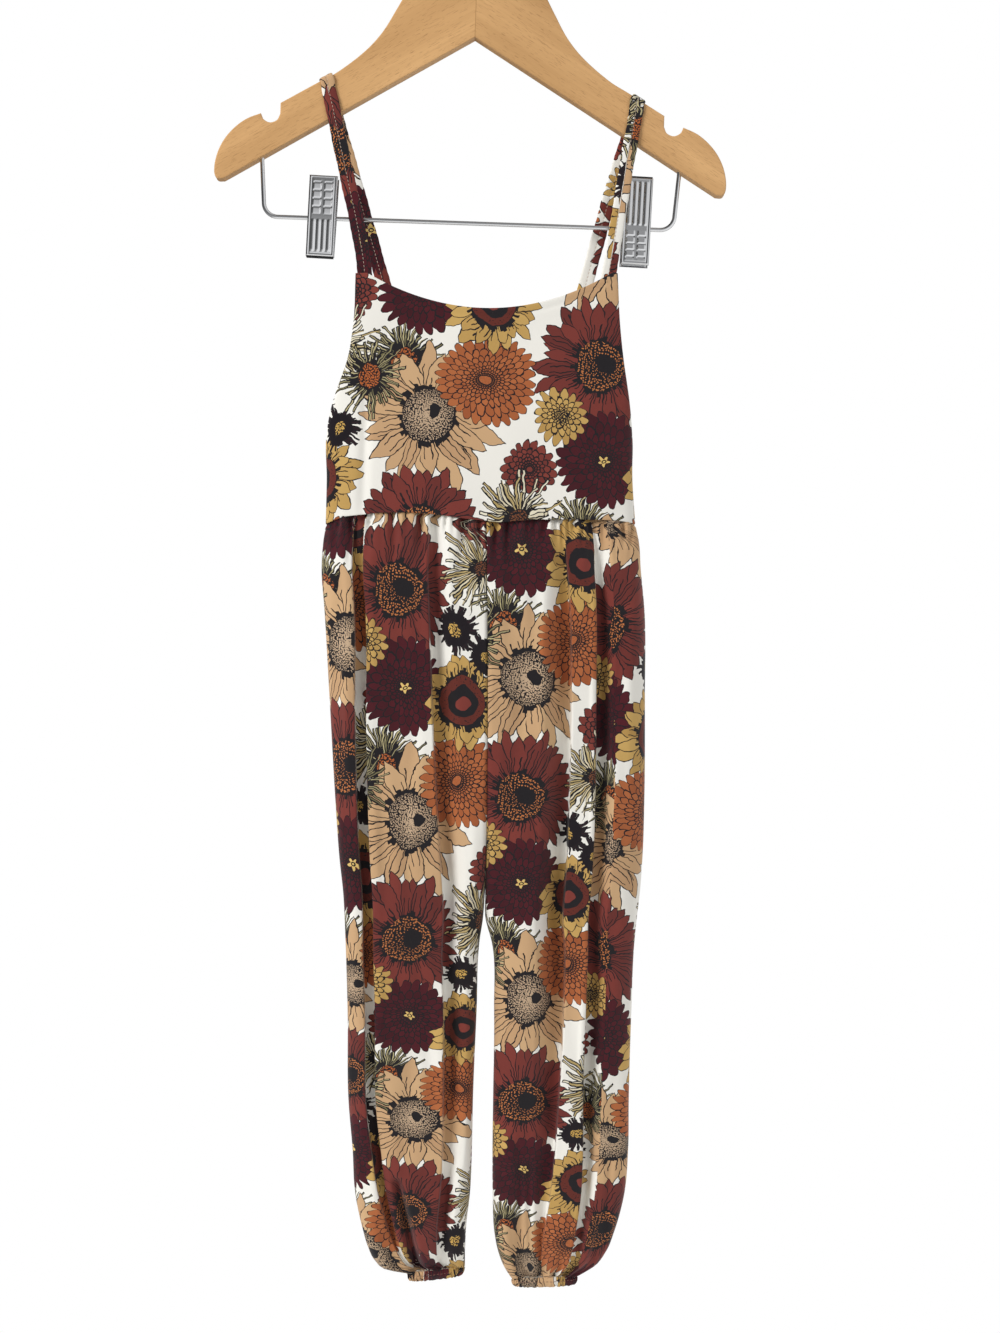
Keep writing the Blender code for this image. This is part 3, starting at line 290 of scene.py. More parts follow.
# Straps: width, thickness, gap and bend over the wood, the step of their rings, how deep the stitches
# lie, and the route down each side as place and lean in degrees. "top" is where the strap crosses
# the wood, and "print" its place on the cloth.
STRAP_WIDTH = 10 * MM
STRAP_THICK = 1.6 * MM
STRAP_GAP = 0.3 * MM
STRAP_BEND = 1.2 * MM
STRAP_STEP = 1.3 * MM
STRAP_STITCH_SHARE = 0.42
STRAPS = {
    "strap_left": {
        "top": (-107.8, -149.25), "slope": 28.2, "print": (0, -100),
        "front": ((-80.0, -8.2, -297.5, 12), (-80.7, -8.3, -289.0, 12), (-81.6, -8.7, -279.0, 12),
                  (-84.0, -10.6, -263.0, 12), (-87.0, -12.0, -247.0, 12), (-90.7, -12.4, -230.0, 12),
                  (-94.4, -12.2, -212.6, 12), (-98.2, -10.6, -195.0, 12), (-101.6, -8.4, -178.5, 13),
                  (-104.4, -7.1, -165.0, 16), (-106.2, -7.1, -157.0, 22)),
        "back": ((-106.4, 7.1, -157.0, 22), (-104.2, 7.1, -166.0, 17), (-100.9, 7.1, -177.0, 15),
                 (-92.0, 7.9, -208.0, 15), (-82.6, 8.7, -241.0, 15), (-73.6, 8.4, -273.0, 14),
                 (-64.8, 7.8, -304.0, 14), (-60.6, 7.4, -318.0, 14), (-57.9, 7.2, -327.5, 14))},
    "strap_right": {
        "top": (110.0, -164.3), "slope": -32.4, "print": (84, -124),
        "front": ((87.4, -7.8, -298.0, -11), (88.6, -7.9, -290.0, -11), (90.1, -8.3, -281.5, -11),
                  (92.5, -10.6, -267.0, -11), (94.6, -11.7, -253.0, -11), (96.6, -11.9, -241.0, -11),
                  (99.4, -11.4, -224.0, -11), (102.1, -10.0, -207.0, -11), (104.4, -8.0, -194.5, -12),
                  (106.7, -7.1, -182.0, -16), (108.4, -7.1, -172.0, -24)),
        "back": ((108.0, 7.1, -172.0, -24), (105.4, 7.1, -181.0, -18), (102.4, 7.1, -191.0, -15),
                 (94.0, 7.9, -218.0, -15), (84.6, 8.7, -251.0, -15), (76.4, 8.4, -281.0, -15),
                 (70.2, 7.8, -304.0, -14), (66.0, 7.4, -318.0, -14), (63.2, 7.2, -327.5, -14))},
}

# The stitches' usual sizes, and the first number of each kind of piece's random draws
STITCH_SIZES = {"Spacing": 2.6 * MM, "Stitch length": 1.9 * MM, "Thread width": 0.42 * MM}
SEEDS = {"bodice": 310, "legs": 520, "cuffs": 740, "straps": 860}

# Stage: floor, the point that the lights face, camera, and each light's place and size
FLOOR_LEVEL = -1.25
FLOOR_RADIUS = 0.75
LIT_POINT = (0, 0, -0.55)
SENSOR = 36
LENS = 63.66
CAMERA_ACROSS = 0.0133
LIGHTS = {
    "key": ((-2.1, -1.5, 0.7), 1.2),
    "fill": ((1.7, -1.9, 0.1), 1.6),
    "back": ((0.6, 1.8, 0.7), 1.6),
}


class Signal:
    """A number in a shader tree. Arithmetic on it adds Math nodes, each before the one that uses it."""

    def __init__(self, tree, socket):
        self.tree = tree
        self.socket = socket

    def math(self, operation, *others):
        return calculate(self.tree, operation, self, *others)

    def __add__(self, other):
        return self.math("ADD", other)

    def __sub__(self, other):
        return self.math("SUBTRACT", other)

    def __rsub__(self, other):
        return calculate(self.tree, "SUBTRACT", other, self)

    def __mul__(self, other):
        return self.math("MULTIPLY", other)

    def __truediv__(self, other):
        return self.math("DIVIDE", other)

    def __gt__(self, other):
        return self.math("GREATER_THAN", other)

    def __lt__(self, other):
        return self.math("LESS_THAN", other)

    def __pow__(self, other):
        return self.math("POWER", other)

    def __abs__(self):
        return self.math("ABSOLUTE")

    def times_plus(self, factor, addend):
        return self.math("MULTIPLY_ADD", factor, addend)


def add_node(tree, kind, inputs, **settings):
    """A node with these settings. Each input is linked to a signal or socket, or set to a plain value."""
    node = tree.nodes.new(kind)
    for key, value in settings.items():
        setattr(node, key, value)
    for key, value in inputs.items():
        if isinstance(value, Signal):
            value = value.socket
        if isinstance(value, bpy.types.NodeSocket):
            tree.links.new(value, node.inputs[key])
        else:
            node.inputs[key].default_value = value
    return node


def calculate(tree, operation, *values):
    """One Math node."""
    node = add_node(tree, "ShaderNodeMath", dict(enumerate(values)), operation=operation)
    return Signal(tree, node.outputs[0])


def highest(a, b):
    return a.math("MAXIMUM", b)


def lowest(a, b):
    return a.math("MINIMUM", b)


def length_of(x, y):
    return (x * x + y * y).math("SQRT")


def polar(x, y):
    """The distance from the middle, and the direction as a share of a turn."""
    return length_of(x, y), y.math("ARCTAN2", x) / TURN


def colour_of(red, green, blue):
    """A linear colour from the eight-bit values of a screen colour."""
    linear = [c / 12.92 if c <= 0.04045 else ((c + 0.055) / 1.055) ** 2.4
              for c in (red / 255, green / 255, blue / 255)]
    return (*linear, 1.0)


def mixed(tree, factor, first, second):
    """A Mix node for two colours, each a colour or a signal. Its inputs 6 and 7 are colours."""
    node = add_node(tree, "ShaderNodeMix", {0: factor, 6: first, 7: second}, data_type="RGBA")
    return Signal(tree, node.outputs[2])


def split(tree, kind, value):
    """The three numbers of a colour or a place."""
    return [Signal(tree, output) for output in add_node(tree, kind, {0: value}).outputs]


def drawn(tree, seed):
    """Three even random numbers for this whole number."""
    node = add_node(tree, "ShaderNodeTexWhiteNoise", {"W": seed}, noise_dimensions="1D")
    return split(tree, "ShaderNodeSeparateColor", node.outputs["Color"])


def cells(tree, x, y, scale):
    """Distance to the nearest point of a scattered dot pattern, in its cells."""
    spot = add_node(tree, "ShaderNodeCombineXYZ", {0: x, 1: y}).outputs[0]
    node = add_node(tree, "ShaderNodeTexVoronoi", {"Vector": spot, "Scale": scale}, voronoi_dimensions="2D")
    return Signal(tree, node.outputs["Distance"])


def clouds(tree, spot, scale, detail=1.0):
    """Three soft random numbers that change slowly over the cloth."""
    node = add_node(tree, "ShaderNodeTexNoise", {"Vector": spot, "Scale": scale, "Detail": detail},
                    noise_dimensions="2D")
    return split(tree, "ShaderNodeSeparateColor", node.outputs["Color"])


# Ink, with the width of its lines round petals and along veins, in millimetres
INK = colour_of(30, 27, 30)
PETAL_INK = 0.72
VEIN_INK = 0.34
# Each tone of a flower lies between its two colours
PALETTE = {
    "ground": colour_of(234, 231, 223),
    "peach": (colour_of(201, 165, 124), colour_of(186, 148, 110)),
    "russet": (colour_of(121, 54, 47), colour_of(99, 44, 40)),
    "mustard": (colour_of(197, 161, 95), colour_of(176, 139, 78)),
    "orange": (colour_of(175, 102, 60), colour_of(152, 83, 48)),
    "wine": (colour_of(78, 24, 32), colour_of(60, 19, 27)),
    "rosewood": (colour_of(128, 59, 50), colour_of(106, 48, 43)),
    "olive": (colour_of(190, 178, 134), colour_of(104, 98, 68)),
    "cream": (colour_of(230, 224, 202), colour_of(172, 150, 96)),
    "night": (colour_of(44, 26, 32), colour_of(26, 20, 25)),
}
# The repeat of the print: width of a column, height of a repeat; the next column starts half lower
REPEAT = (125.0, 240.0)
# The drawing wanders slowly and trembles quickly by these distances, so that no two flowers are alike
DRIFT_SCALES = (30.0, 170.0)
DRIFT = (9, 2.4)
# The knit's fineness, and the strength and depth of its unevenness
KNIT_SCALE = 1400
KNIT_BUMP = 0.25
KNIT_DEPTH = 0.2 * MM

# Flowers of one repeat from the lowest layer of the print to its top: kind, middle across and down
# from the russet sunflower, reach, and what each kind needs. "wide" is half a petal's width, "tip" how
# blunt it is, "dot_size" the eye's dots in the middle and what they grow by at the rim, and "core" the
# place and radius of a dark spot.
FLOWERS = (
    {"kind": "threads", "at": (-12, 118), "reach": 36, "tones": "olive", "count": 30, "wide": 1.05,
     "eye": 8.5, "eye_dot": colour_of(176, 96, 50), "dot_size": (0.40, 0.0), "rim": 1.0, "seed": 11},
    {"kind": "sunflower", "at": (5, 157), "reach": 58, "tones": "peach", "count": 13, "wide": 7.6,
     "tip": 3.2, "eye": 20.5, "eye_dot": colour_of(186, 160, 132), "dot_size": (0.64, -0.42), "grain": 0.95,
     "core": (4.0, -2.0, 4.2), "lean": 0.6, "seed": 23},
    {"kind": "sunflower", "at": (0, 0), "reach": 54, "tones": "russet", "count": 19, "wide": 5.1,
     "tip": 5.0, "eye": 19.0, "eye_dot": colour_of(186, 114, 66), "dot_size": (0.14, 0.22), "grain": 0.62,
     "core": (3.5, -2.0, 6.2), "lean": 0.5, "seed": 37},
    {"kind": "dahlia", "at": (2, 66), "reach": 34, "tones": "wine", "count": 25, "rows": 3.5, "tall": 0.6,
     "heart": "star", "seed": 41},
    {"kind": "dahlia", "at": (46, 130), "reach": 37, "tones": "orange", "count": 30, "rows": 3.9,
     "tall": 0.6, "heart": "plain", "squash": 0.86, "seed": 53},
    {"kind": "sunflower", "at": (51, 76), "reach": 38, "tones": "mustard", "count": 13, "wide": 5.8,
     "tip": 3.8, "eye": 19.0, "eye_dot": colour_of(96, 42, 34), "dot_size": (0.74, 0.0),
     "rings": True, "lean": 0.6, "seed": 67},
    {"kind": "dahlia", "at": (-28, 36), "reach": 20, "tones": "mustard", "count": 16, "rows": 2.8,
     "tall": 0.85, "heart": "dark", "seed": 71},
    {"kind": "dahlia", "at": (-50, 71), "reach": 19.5, "tones": "rosewood", "count": 17, "rows": 3.2,
     "tall": 0.6, "heart": "plain", "seed": 83},
    {"kind": "threads", "at": (48, 27), "reach": 19, "tones": "night", "count": 25, "wide": 1.3,
     "disc": 10.5, "eye": 5.0, "eye_dot": colour_of(196, 158, 84), "seed": 97},
    {"kind": "threads", "at": (68, 45), "reach": 18, "tones": "night", "count": 23, "wide": 1.3,
     "disc": 10.0, "eye": 4.5, "eye_dot": colour_of(196, 158, 84), "seed": 101},
    {"kind": "threads", "at": (66, -14), "reach": 36, "tones": "cream", "count": 27, "wide": 1.25,
     "eye": 6.5, "eye_dot": colour_of(120, 72, 46), "dot_size": (0.36, 0.0), "rim": 1.0, "seed": 113},
    {"kind": "threads", "at": (90, 8), "reach": 31, "tones": "olive", "count": 27, "wide": 1.1,
     "eye": 9.5, "eye_dot": colour_of(180, 98, 50), "dot_size": (0.40, 0.0), "rim": 0.9, "seed": 127},
)


def petal_ring(tree, spread, angle, under, flower, reach, phase, seed):
    """One ring of long petals with ink outlines and two veins, over the colour under it."""
    count, wide, root = flower["count"], flower["wide"], flower["eye"] * 0.55
    place = angle.times_plus(count, phase)
    index = place.math("ROUND")
    chance = drawn(tree, index.math("FLOORED_MODULO", count) + seed)
    along = (spread - root) / chance[1].times_plus(reach * 0.2, reach * 0.8 - root)
    lean = (chance[0] - 0.5) * (along * flower["lean"])
    off = abs(place - index + lean) * spread * (TURN / count)
    half = (1 - along ** flower["tip"]) * along.times_plus(wide * 0.9, wide * 0.5)
    edge = lowest(half, spread * (math.pi / count)) - off
    vein = (abs(off - half * 0.4) < VEIN_INK) * (along < chance[2].times_plus(0.4, 0.4))
    line = highest(edge < PETAL_INK, vein)
    light, dark = PALETTE[flower["tones"]]
    tone = mixed(tree, chance[2], light, dark)
    inked = mixed(tree, line, tone, INK)
    return mixed(tree, edge > 0, under, inked)


def stippled_eye(tree, x, y, spread, angle, under, flower):
    """The middle of a flower: scattered dots on ink inside a ragged rim, with a dark core."""
    radius = flower["eye"]
    ragged = drawn(tree, angle.times_plus(52, flower["seed"]).math("FLOOR"))[0]
    inside = spread < ragged.times_plus(radius * flower.get("rim", 0.3), radius * 0.86)
    size, growth = flower.get("dot_size", (0.42, 0.0))
    dots = cells(tree, x, y, flower.get("grain", 0.8)) < spread.times_plus(growth / radius, size)
    tone = mixed(tree, dots * (spread < radius * 0.86), INK, flower["eye_dot"])
    under = mixed(tree, inside, under, tone)
    if "core" in flower:
        core_x, core_y, core = flower["core"]
        under = mixed(tree, length_of(x - core_x, y - core_y) < core, under, INK)
    if "rings" in flower:
        under = mixed(tree, spread < radius * 0.56, under, INK)
        under = mixed(tree, spread < radius * 0.26, under, PALETTE["russet"][0])
    return under


def sunflower(tree, x, y, under, flower):
    """Two rings of petals round a large eye."""
    spread, angle = polar(x, y)
    seed, reach = flower["seed"], flower["reach"]
    under = petal_ring(tree, spread, angle, under, flower, reach, 0.5, seed + 31)
    under = petal_ring(tree, spread, angle, under, flower, reach * 0.9, 0.0, seed)
    return stippled_eye(tree, x, y, spread, angle, under, flower)


def dahlia(tree, x, y, under, flower):
    """Rows of short overlapping petals that shrink towards the middle."""
    reach, count, rows = flower["reach"], flower["count"], flower["rows"]
    y = y / flower.get("squash", 1.0)
    spread, angle = polar(x, y)
    depth = spread.math("LOGARITHM", math.e).times_plus(-rows, rows * math.log(reach))
    row = depth.math("FLOOR")
    place = row.times_plus(0.5, angle * count)
    off = abs(place - place.math("FLOOR") - 0.5)
    rim = off * off * (4 * flower["tall"])
    own = depth - row - rim
    outer = own < 0
    column = (place - outer * 0.5).math("FLOOR").math("FLOORED_MODULO", count)
    chance = drawn(tree, (row - outer).times_plus(count, column + flower["seed"]))
    tip_line = abs(own) * spread < PETAL_INK * rows
    side_line = ((0.5 - off) * spread < VEIN_INK * count / TURN) * (own > 0)
    line = highest(tip_line, side_line) * (spread > reach * 0.1)
    light, dark = PALETTE[flower["tones"]]
    inked = mixed(tree, line, mixed(tree, chance[0], light, dark), INK)
    under = mixed(tree, depth - rim > 0, under, inked)
    if flower["heart"] == "star":
        star = (angle * (5 * TURN)).math("SINE").times_plus(1.1, 3.2)
        under = mixed(tree, spread < star, under, colour_of(214, 182, 110))
        return mixed(tree, abs(spread - 1.3) < 0.45, under, INK)
    if flower["heart"] == "dark":
        dots = cells(tree, x, y, 0.9) < 0.25
        tone = mixed(tree, dots, INK, light)
        return mixed(tree, spread < reach * 0.26, under, tone)
    return under


def threads(tree, x, y, under, flower):
    """Two rings of thin tangled petals round a small eye."""
    spread, angle = polar(x, y)
    count, wide, seed = flower["count"], flower["wide"], flower["seed"]
    light, dark = PALETTE[flower["tones"]]
    for layer, (reach, twist) in enumerate(((flower["reach"], 0.02), (flower["reach"] * 0.82, -0.03))):
        place = angle.times_plus(count, spread * twist)
        index = place.math("ROUND")
        chance = drawn(tree, index.math("FLOORED_MODULO", count) + (seed + 40 * layer))
        lean = (chance[0] - 0.5) * (spread * (1.5 / reach))
        off = abs(place - index + lean) * spread * (TURN / count)
        end = chance[1].times_plus(reach * 0.42, reach * 0.58)
        edge = lowest(wide - off, end - spread)
        tone = mixed(tree, chance[2], light, dark)
        inked = mixed(tree, edge < PETAL_INK, tone, INK)
        under = mixed(tree, edge > 0, under, inked)
    if "disc" in flower:
        under = mixed(tree, spread < flower["disc"], under, dark)
    return stippled_eye(tree, x, y, spread, angle, under, flower)


def flower_print(tree, across, down):
    """The colour of the print at this place on the cloth, in millimetres."""
    colour = PALETTE["ground"]
    wide, tall = REPEAT
    kinds = {"sunflower": sunflower, "dahlia": dahlia, "threads": threads}
    for flower in FLOWERS:
        x = across - flower["at"][0]
        column = (x / wide).math("ROUND")
        x = column.times_plus(-wide, x)
        y = column.times_plus(-tall / 2, down - flower["at"][1])
        y = (y / tall).math("ROUND").times_plus(-tall, y)
        colour = kinds[flower["kind"]](tree, x, y, colour, flower)
    return colour


def plain_material(name, colour, roughness, metallic=0.0, specular=0.5, coat=0.0, sheen=0.0):
    """A new material and its shader, with constants set on the shader."""
    made = bpy.data.materials.new(name)
    made.use_nodes = True
    shader = made.node_tree.nodes["Principled BSDF"]
    values = {"Base Color": colour, "Roughness": roughness, "Metallic": metallic,
              "Specular IOR Level": specular, "Coat Weight": coat, "Coat Roughness": 0.25,
              "Sheen Weight": sheen, "Sheen Roughness": 0.5}
    for key, value in values.items():
        shader.inputs[key].default_value = value
    return made, shader


def knit_bump(tree, spot, shader):
    """A very fine unevenness, as a jersey knit has."""
    grain = add_node(tree, "ShaderNodeTexNoise", {"Vector": spot, "Scale": KNIT_SCALE}, noise_dimensions="2D")
    bump = add_node(tree, "ShaderNodeBump",
                    {"Strength": KNIT_BUMP, "Distance": KNIT_DEPTH, "Height": grain.outputs[0]})
    tree.links.new(bump.outputs[0], shader.inputs["Normal"])


def cloth_spot(tree):
    """The place on the cloth, in metres, from the piece's own map."""
    return add_node(tree, "ShaderNodeUVMap", {}, uv_map="cloth").outputs[0]


def printed_material():
    """Off-white jersey with the flower print."""
    made, shader = plain_material("flower_jersey", PALETTE["ground"], 0.78, specular=0.28, sheen=0.12)
    tree = made.node_tree
    spot = cloth_spot(tree)
    u, v, _ = split(tree, "ShaderNodeSeparateXYZ", spot)
    slow, quick = (clouds(tree, spot, scale) for scale in DRIFT_SCALES)
    wander, tremble = DRIFT
    across = u.times_plus(1000, (slow[0] - 0.5) * wander) + (quick[0] - 0.5) * tremble
    down = v.times_plus(-1000, (slow[1] - 0.5) * wander) + (quick[1] - 0.5) * tremble
    colour = flower_print(tree, across, down)
    tree.links.new(colour.socket, shader.inputs["Base Color"])
    knit_bump(tree, spot, shader)
    return made


def reverse_material():
    """The pale inner side of the jersey, where the print shows through as faint blotches."""
    made, shader = plain_material("jersey_inside", PALETTE["ground"], 0.82, specular=0.25, sheen=0.12)
    tree = made.node_tree
    spot = cloth_spot(tree)
    patch = clouds(tree, spot, 26.0, 2.0)[0]
    faint = lowest(highest((patch - 0.44) * 4.0, 0.0), 1.0) * 0.28
    shown = mixed(tree, faint, colour_of(224, 219, 209), colour_of(176, 138, 118))
    tree.links.new(shown.socket, shader.inputs["Base Color"])
    return made


def follow(table, columns, column, at):
    """The values of a table's column at these places, on a smooth curve through its rows."""
    places = np.array([row[0] for row in table], float)
    values = np.array([row[columns.index(column)] for row in table], float)
    slopes = np.gradient(values, places)
    at = np.clip(at, places[0], places[-1])
    i = np.clip(np.searchsorted(places, at, side="right") - 1, 0, len(places) - 2)
    width = places[i + 1] - places[i]
    t = (at - places[i]) / width
    return ((1 + 2 * t) * (1 - t) ** 2 * values[i] + t * (1 - t) ** 2 * width * slopes[i]
            + t * t * (3 - 2 * t) * values[i + 1] + t * t * (t - 1) * width * slopes[i + 1])


def follow_all(table, columns, at):
    """The values of every column but the first at these places."""
    return [follow(table, columns, key, at) for key in columns[1:]]


def summed(steps):
    """How far each point lies along a line with these steps."""
    return np.concatenate([[0], np.cumsum(steps)])


def run_of(x, y):
    """How far each of these points lies along the line through them."""
    return summed(np.hypot(np.diff(x), np.diff(y)))


def waist_rise(x, face):
    """How far the waist seam stands above its level at these places across, in metres."""
    places = [row[0] * MM for row in WAIST_WAVE]
    rises = [row[1] * MM for row in WAIST_WAVE]
    if face > 0:
        return rises[0] * np.minimum(1.0, np.abs(x) / abs(places[0])) ** BACK_WAVE_POWER
    return np.interp(x, places, rises)


def section_shares():
    """Shares from 0 to 1 along a section, closer together at both ends."""
    return (1 - np.cos(np.linspace(0, math.pi, SECTION_POINTS))) / 2


def rounded_end(share):
    """Rises from 0 at the end of a section to 1 in its middle, as a rounded corner does."""
    share = np.clip(share, 0.0, 1.0)
    return (1 - (1 - share) ** CORNER_SHARPNESS) ** (1 / CORNER_SHARPNESS)


def bell(off):
    """1 at the middle, falling to nothing at about twice the half width."""
    return np.exp(-off * off)


def smooth_step(value):
    value = np.clip(value, 0.0, 1.0)
    return value * value * (3 - 2 * value)


def undulation(rng, x, z, height, wide, tall):
    """A soft unevenness: a sum of slow waves with this height, and about these lengths."""
    total = np.zeros(np.broadcast(x, z).shape)
    for _ in range(WAVES):
        across = TURN / (wide * rng.uniform(0.7, 1.6))
        down = TURN / (tall * rng.uniform(0.7, 1.7)) * rng.choice((-1, 1))
        total += np.sin(across * x + down * z + rng.uniform(0, TURN))
    return total * height / WAVE_SUM


def gathers(rng, x, depth_from_seam, low, high, count, reach, half, deep):
    """Short irregular puckers that start at a seam and run out: how far they fall in."""
    total = np.zeros(np.broadcast(x, depth_from_seam).shape)
    spots = np.linspace(low, high, count) + rng.uniform(-0.42, 0.42, count) * (high - low) / count
    for spot in spots:
        length = rng.uniform(*reach)
        width = rng.uniform(*half)
        drift = rng.uniform(-0.09, 0.09)
        fade = np.clip(1 - depth_from_seam / length, 0, 1) ** 1.3
        wide = width * (1 + 0.9 * depth_from_seam / length)
        total += rng.uniform(*deep) * fade * bell((x - spot - drift * depth_from_seam) / wide)
    return total


def crease_depth(panel, x, z):
    """How far the long creases of this panel fall in."""
    total = np.zeros(x.shape)
    for x1, z1, x2, z2, half, deep in CREASES.get(panel, ()):
        ax, az, bx, bz = (value * MM for value in (x1, z1, x2, z2))
        run = (bx - ax) ** 2 + (bz - az) ** 2
        share = np.clip(((x - ax) * (bx - ax) + (z - az) * (bz - az)) / run, 0, 1)
        away = np.hypot(x - ax - share * (bx - ax), z - az - share * (bz - az))
        fade = np.sin(math.pi * np.clip(0.08 + 0.84 * share, 0, 1)) ** 0.5
        total += deep * MM * fade * bell(away / (half * MM))
    return total


def lines(total, count, border):
    """Places from 0 to total: close together over the rounded border at both ends, even between."""
    steps = np.array(BORDER_STEPS) * border
    between = np.linspace(border, total - border, count)
    return np.concatenate([steps, between, total - steps[::-1]])


def resampled_rows(x, y, extra, count, border):
    """Rows of points evenly spaced along each row's line, with the length along it and extra values."""
    rows = []
    for row in range(x.shape[0]):
        along = run_of(x[row], y[row])
        spots = lines(along[-1], count, border)
        rows.append([spots] + [np.interp(spots, along, values[row]) for values in (x, y, *extra)])
    return [np.array(column) for column in zip(*rows)]


def grid_normals(points, outward):
    """Unit normals of a grid of points, on the side where outward is positive."""
    down = np.gradient(points, axis=0)
    across = np.gradient(points, axis=1)
    normals = np.cross(across, down)
    normals /= np.maximum(np.linalg.norm(normals, axis=2), 1e-12)[..., None]
    return normals if (normals * outward).sum() > 0 else -normals


def facing(points, face):
    """The direction to the front or the back, once for each of these points."""
    outward = np.zeros_like(points)
    outward[..., 1] = face
    return outward


def new_piece(name, mesh, *materials):
    """A new object for this mesh with these materials."""
    for material in materials:
        mesh.materials.append(material)
    item = bpy.data.objects.new(name, mesh)
    bpy.context.scene.collection.objects.link(item)
    return item


def mesh_of(name, points, faces, uvs=None, kinds=None):
    """A mesh of four-cornered faces, with a map for each corner and a material for each face."""
    mesh = bpy.data.meshes.new(name)
    mesh.vertices.add(len(points))
    mesh.vertices.foreach_set("co", np.ascontiguousarray(points, np.float32).ravel())
    mesh.loops.add(faces.size)
    mesh.loops.foreach_set("vertex_index", faces.astype(np.int32).ravel())
    mesh.polygons.add(len(faces))
    mesh.polygons.foreach_set("loop_start", np.arange(0, faces.size, 4, dtype=np.int32))
    if kinds is not None:
        mesh.polygons.foreach_set("material_index", kinds.astype(np.int32))
    mesh.update(calc_edges=True)
    if uvs is not None:
        layer = mesh.uv_layers.new(name="cloth")
        layer.uv.foreach_set("vector", uvs.astype(np.float32).ravel())
    mesh.validate()
    mesh.shade_smooth()
    return mesh


def facing_out(mesh):
    """Turns a closed mesh the right way round."""
    shape = bmesh.new()
    shape.from_mesh(mesh)
    if shape.calc_volume(signed=True) < 0:
        bmesh.ops.reverse_faces(shape, faces=shape.faces)
    shape.to_mesh(mesh)
    shape.free()


def border_profile(distances, thickness):
    """The share of the full thickness at these distances from a rounded border."""
    inward = np.clip(1 - 2 * distances / thickness, 0, 1)
    return np.sqrt(np.maximum(1 - inward * inward, BORDER_EDGE))


def shell_skins(outer, thickness, outward, closed):
    """The outer and the inner points of a sheet under these outer points, with rounded borders."""
    rows, columns = outer.shape[:2]
    if closed:
        ring, away = (np.concatenate([grid[:, -1:], grid, grid[:, :1]], axis=1) for grid in (outer, outward))
        normals = grid_normals(ring, away)[:, 1:-1]
    else:
        normals = grid_normals(outer, outward)
    from_top = summed(np.linalg.norm(np.diff(outer, axis=0), axis=2).mean(axis=1))
    half = border_profile(np.minimum(from_top, from_top[-1] - from_top), thickness)[:, None]
    half = np.repeat(half, columns, axis=1)
    if not closed:
        across = np.linalg.norm(np.diff(outer, axis=1), axis=2)
        from_side = np.concatenate([np.zeros((rows, 1)), np.cumsum(across, axis=1)], axis=1)
        half *= border_profile(np.minimum(from_side, from_side[:, -1:] - from_side), thickness)
    middle = outer - normals * thickness / 2
    reach = normals * (half * thickness / 2)[..., None]
    return middle + reach, middle - reach


def shell_faces(rows, columns, closed):
    """The faces of a sheet: both skins and the borders, with the number of faces in one skin."""
    index = np.arange(rows * columns).reshape(rows, columns)
    here = np.arange(columns if closed else columns - 1)
    after = (here + 1) % columns
    upper, lower = index[:-1], index[1:]
    skin = np.stack([upper[:, here], upper[:, after], lower[:, after], lower[:, here]], axis=2).reshape(-1, 4)
    borders = [(index[0][after], index[0][here]), (index[-1][here], index[-1][after])]
    if not closed:
        borders += [(upper[:, 0], lower[:, 0]), (lower[:, -1], upper[:, -1])]
    rims = [np.stack([a, b, b + index.size, a + index.size], axis=1) for a, b in borders]
    return np.concatenate([skin, skin[:, ::-1] + index.size, *rims]), len(skin)


def shell_map(faces, skin, map_uv, cuts, closed):
    """The place on the cloth of every corner of a sheet's faces."""
    rows, columns = map_uv.shape[:2]
    placed = np.concatenate([map_uv.reshape(-1, 2)] * 2)[faces]
    if closed:
        first, before, last = map_uv[0, 0, 0], map_uv[0, -2, 0], map_uv[0, -1, 0]
        column = faces % (rows * columns) % columns
        seam = (column == 0) & (column.max(axis=1) == columns - 1)[:, None]
        placed[..., 0] += seam * (last + (last - before) - first)
    if cuts is not None:
        placed[:2 * skin, :, 0] += np.concatenate([cuts.reshape(-1)] * 2)[:, None]
    return placed


def shell(name, outer, thickness, outward, map_uv, cuts=None, closed=False, keep=None):
    """A closed sheet of cloth under a grid of outer points, with rounded borders.

    cuts adds to the map of each face, so that hidden cloth can be left out of the print. keep
    moves the points clear of the panels that this one is sewn to.
    """
    skins = shell_skins(outer, thickness, outward, closed)
    if keep is not None:
        skins = [keep(skin) for skin in skins]
    faces, skin = shell_faces(*outer.shape[:2], closed)
    kinds = np.zeros(len(faces), int)
    kinds[skin:2 * skin] = 1
    points = np.concatenate([grid.reshape(-1, 3) for grid in skins])
    mesh = mesh_of(name, points, faces, shell_map(faces, skin, map_uv, cuts, closed), kinds)
    facing_out(mesh)
    return mesh


def bodice_levels(name, sections, heights, border):
    """Place across, outward depth and place on the cloth of a bodice panel's columns at these heights."""
    shares = section_shares()
    bulge = rounded_end(2 * np.minimum(shares, 1 - shares))
    levels = []
    for left, right, depth, stand in zip(*follow_all(sections, BODICE_COLUMNS, heights)):
        stand = min(max(stand, 0.0), 1.0)
        x = (left + (right - left) * shares) * MM
        deep = depth * (stand + (1 - stand) * bulge) * MM
        run = run_of(x, deep)
        spots = lines(run[-1], BODICE_GRID[0], border)
        anchor = np.interp(PRINT_RUN[name]["across"] * MM, x, run)
        levels.append([np.interp(spots, run, x), np.interp(spots, run, deep), (spots - anchor)])
    return np.array(levels)


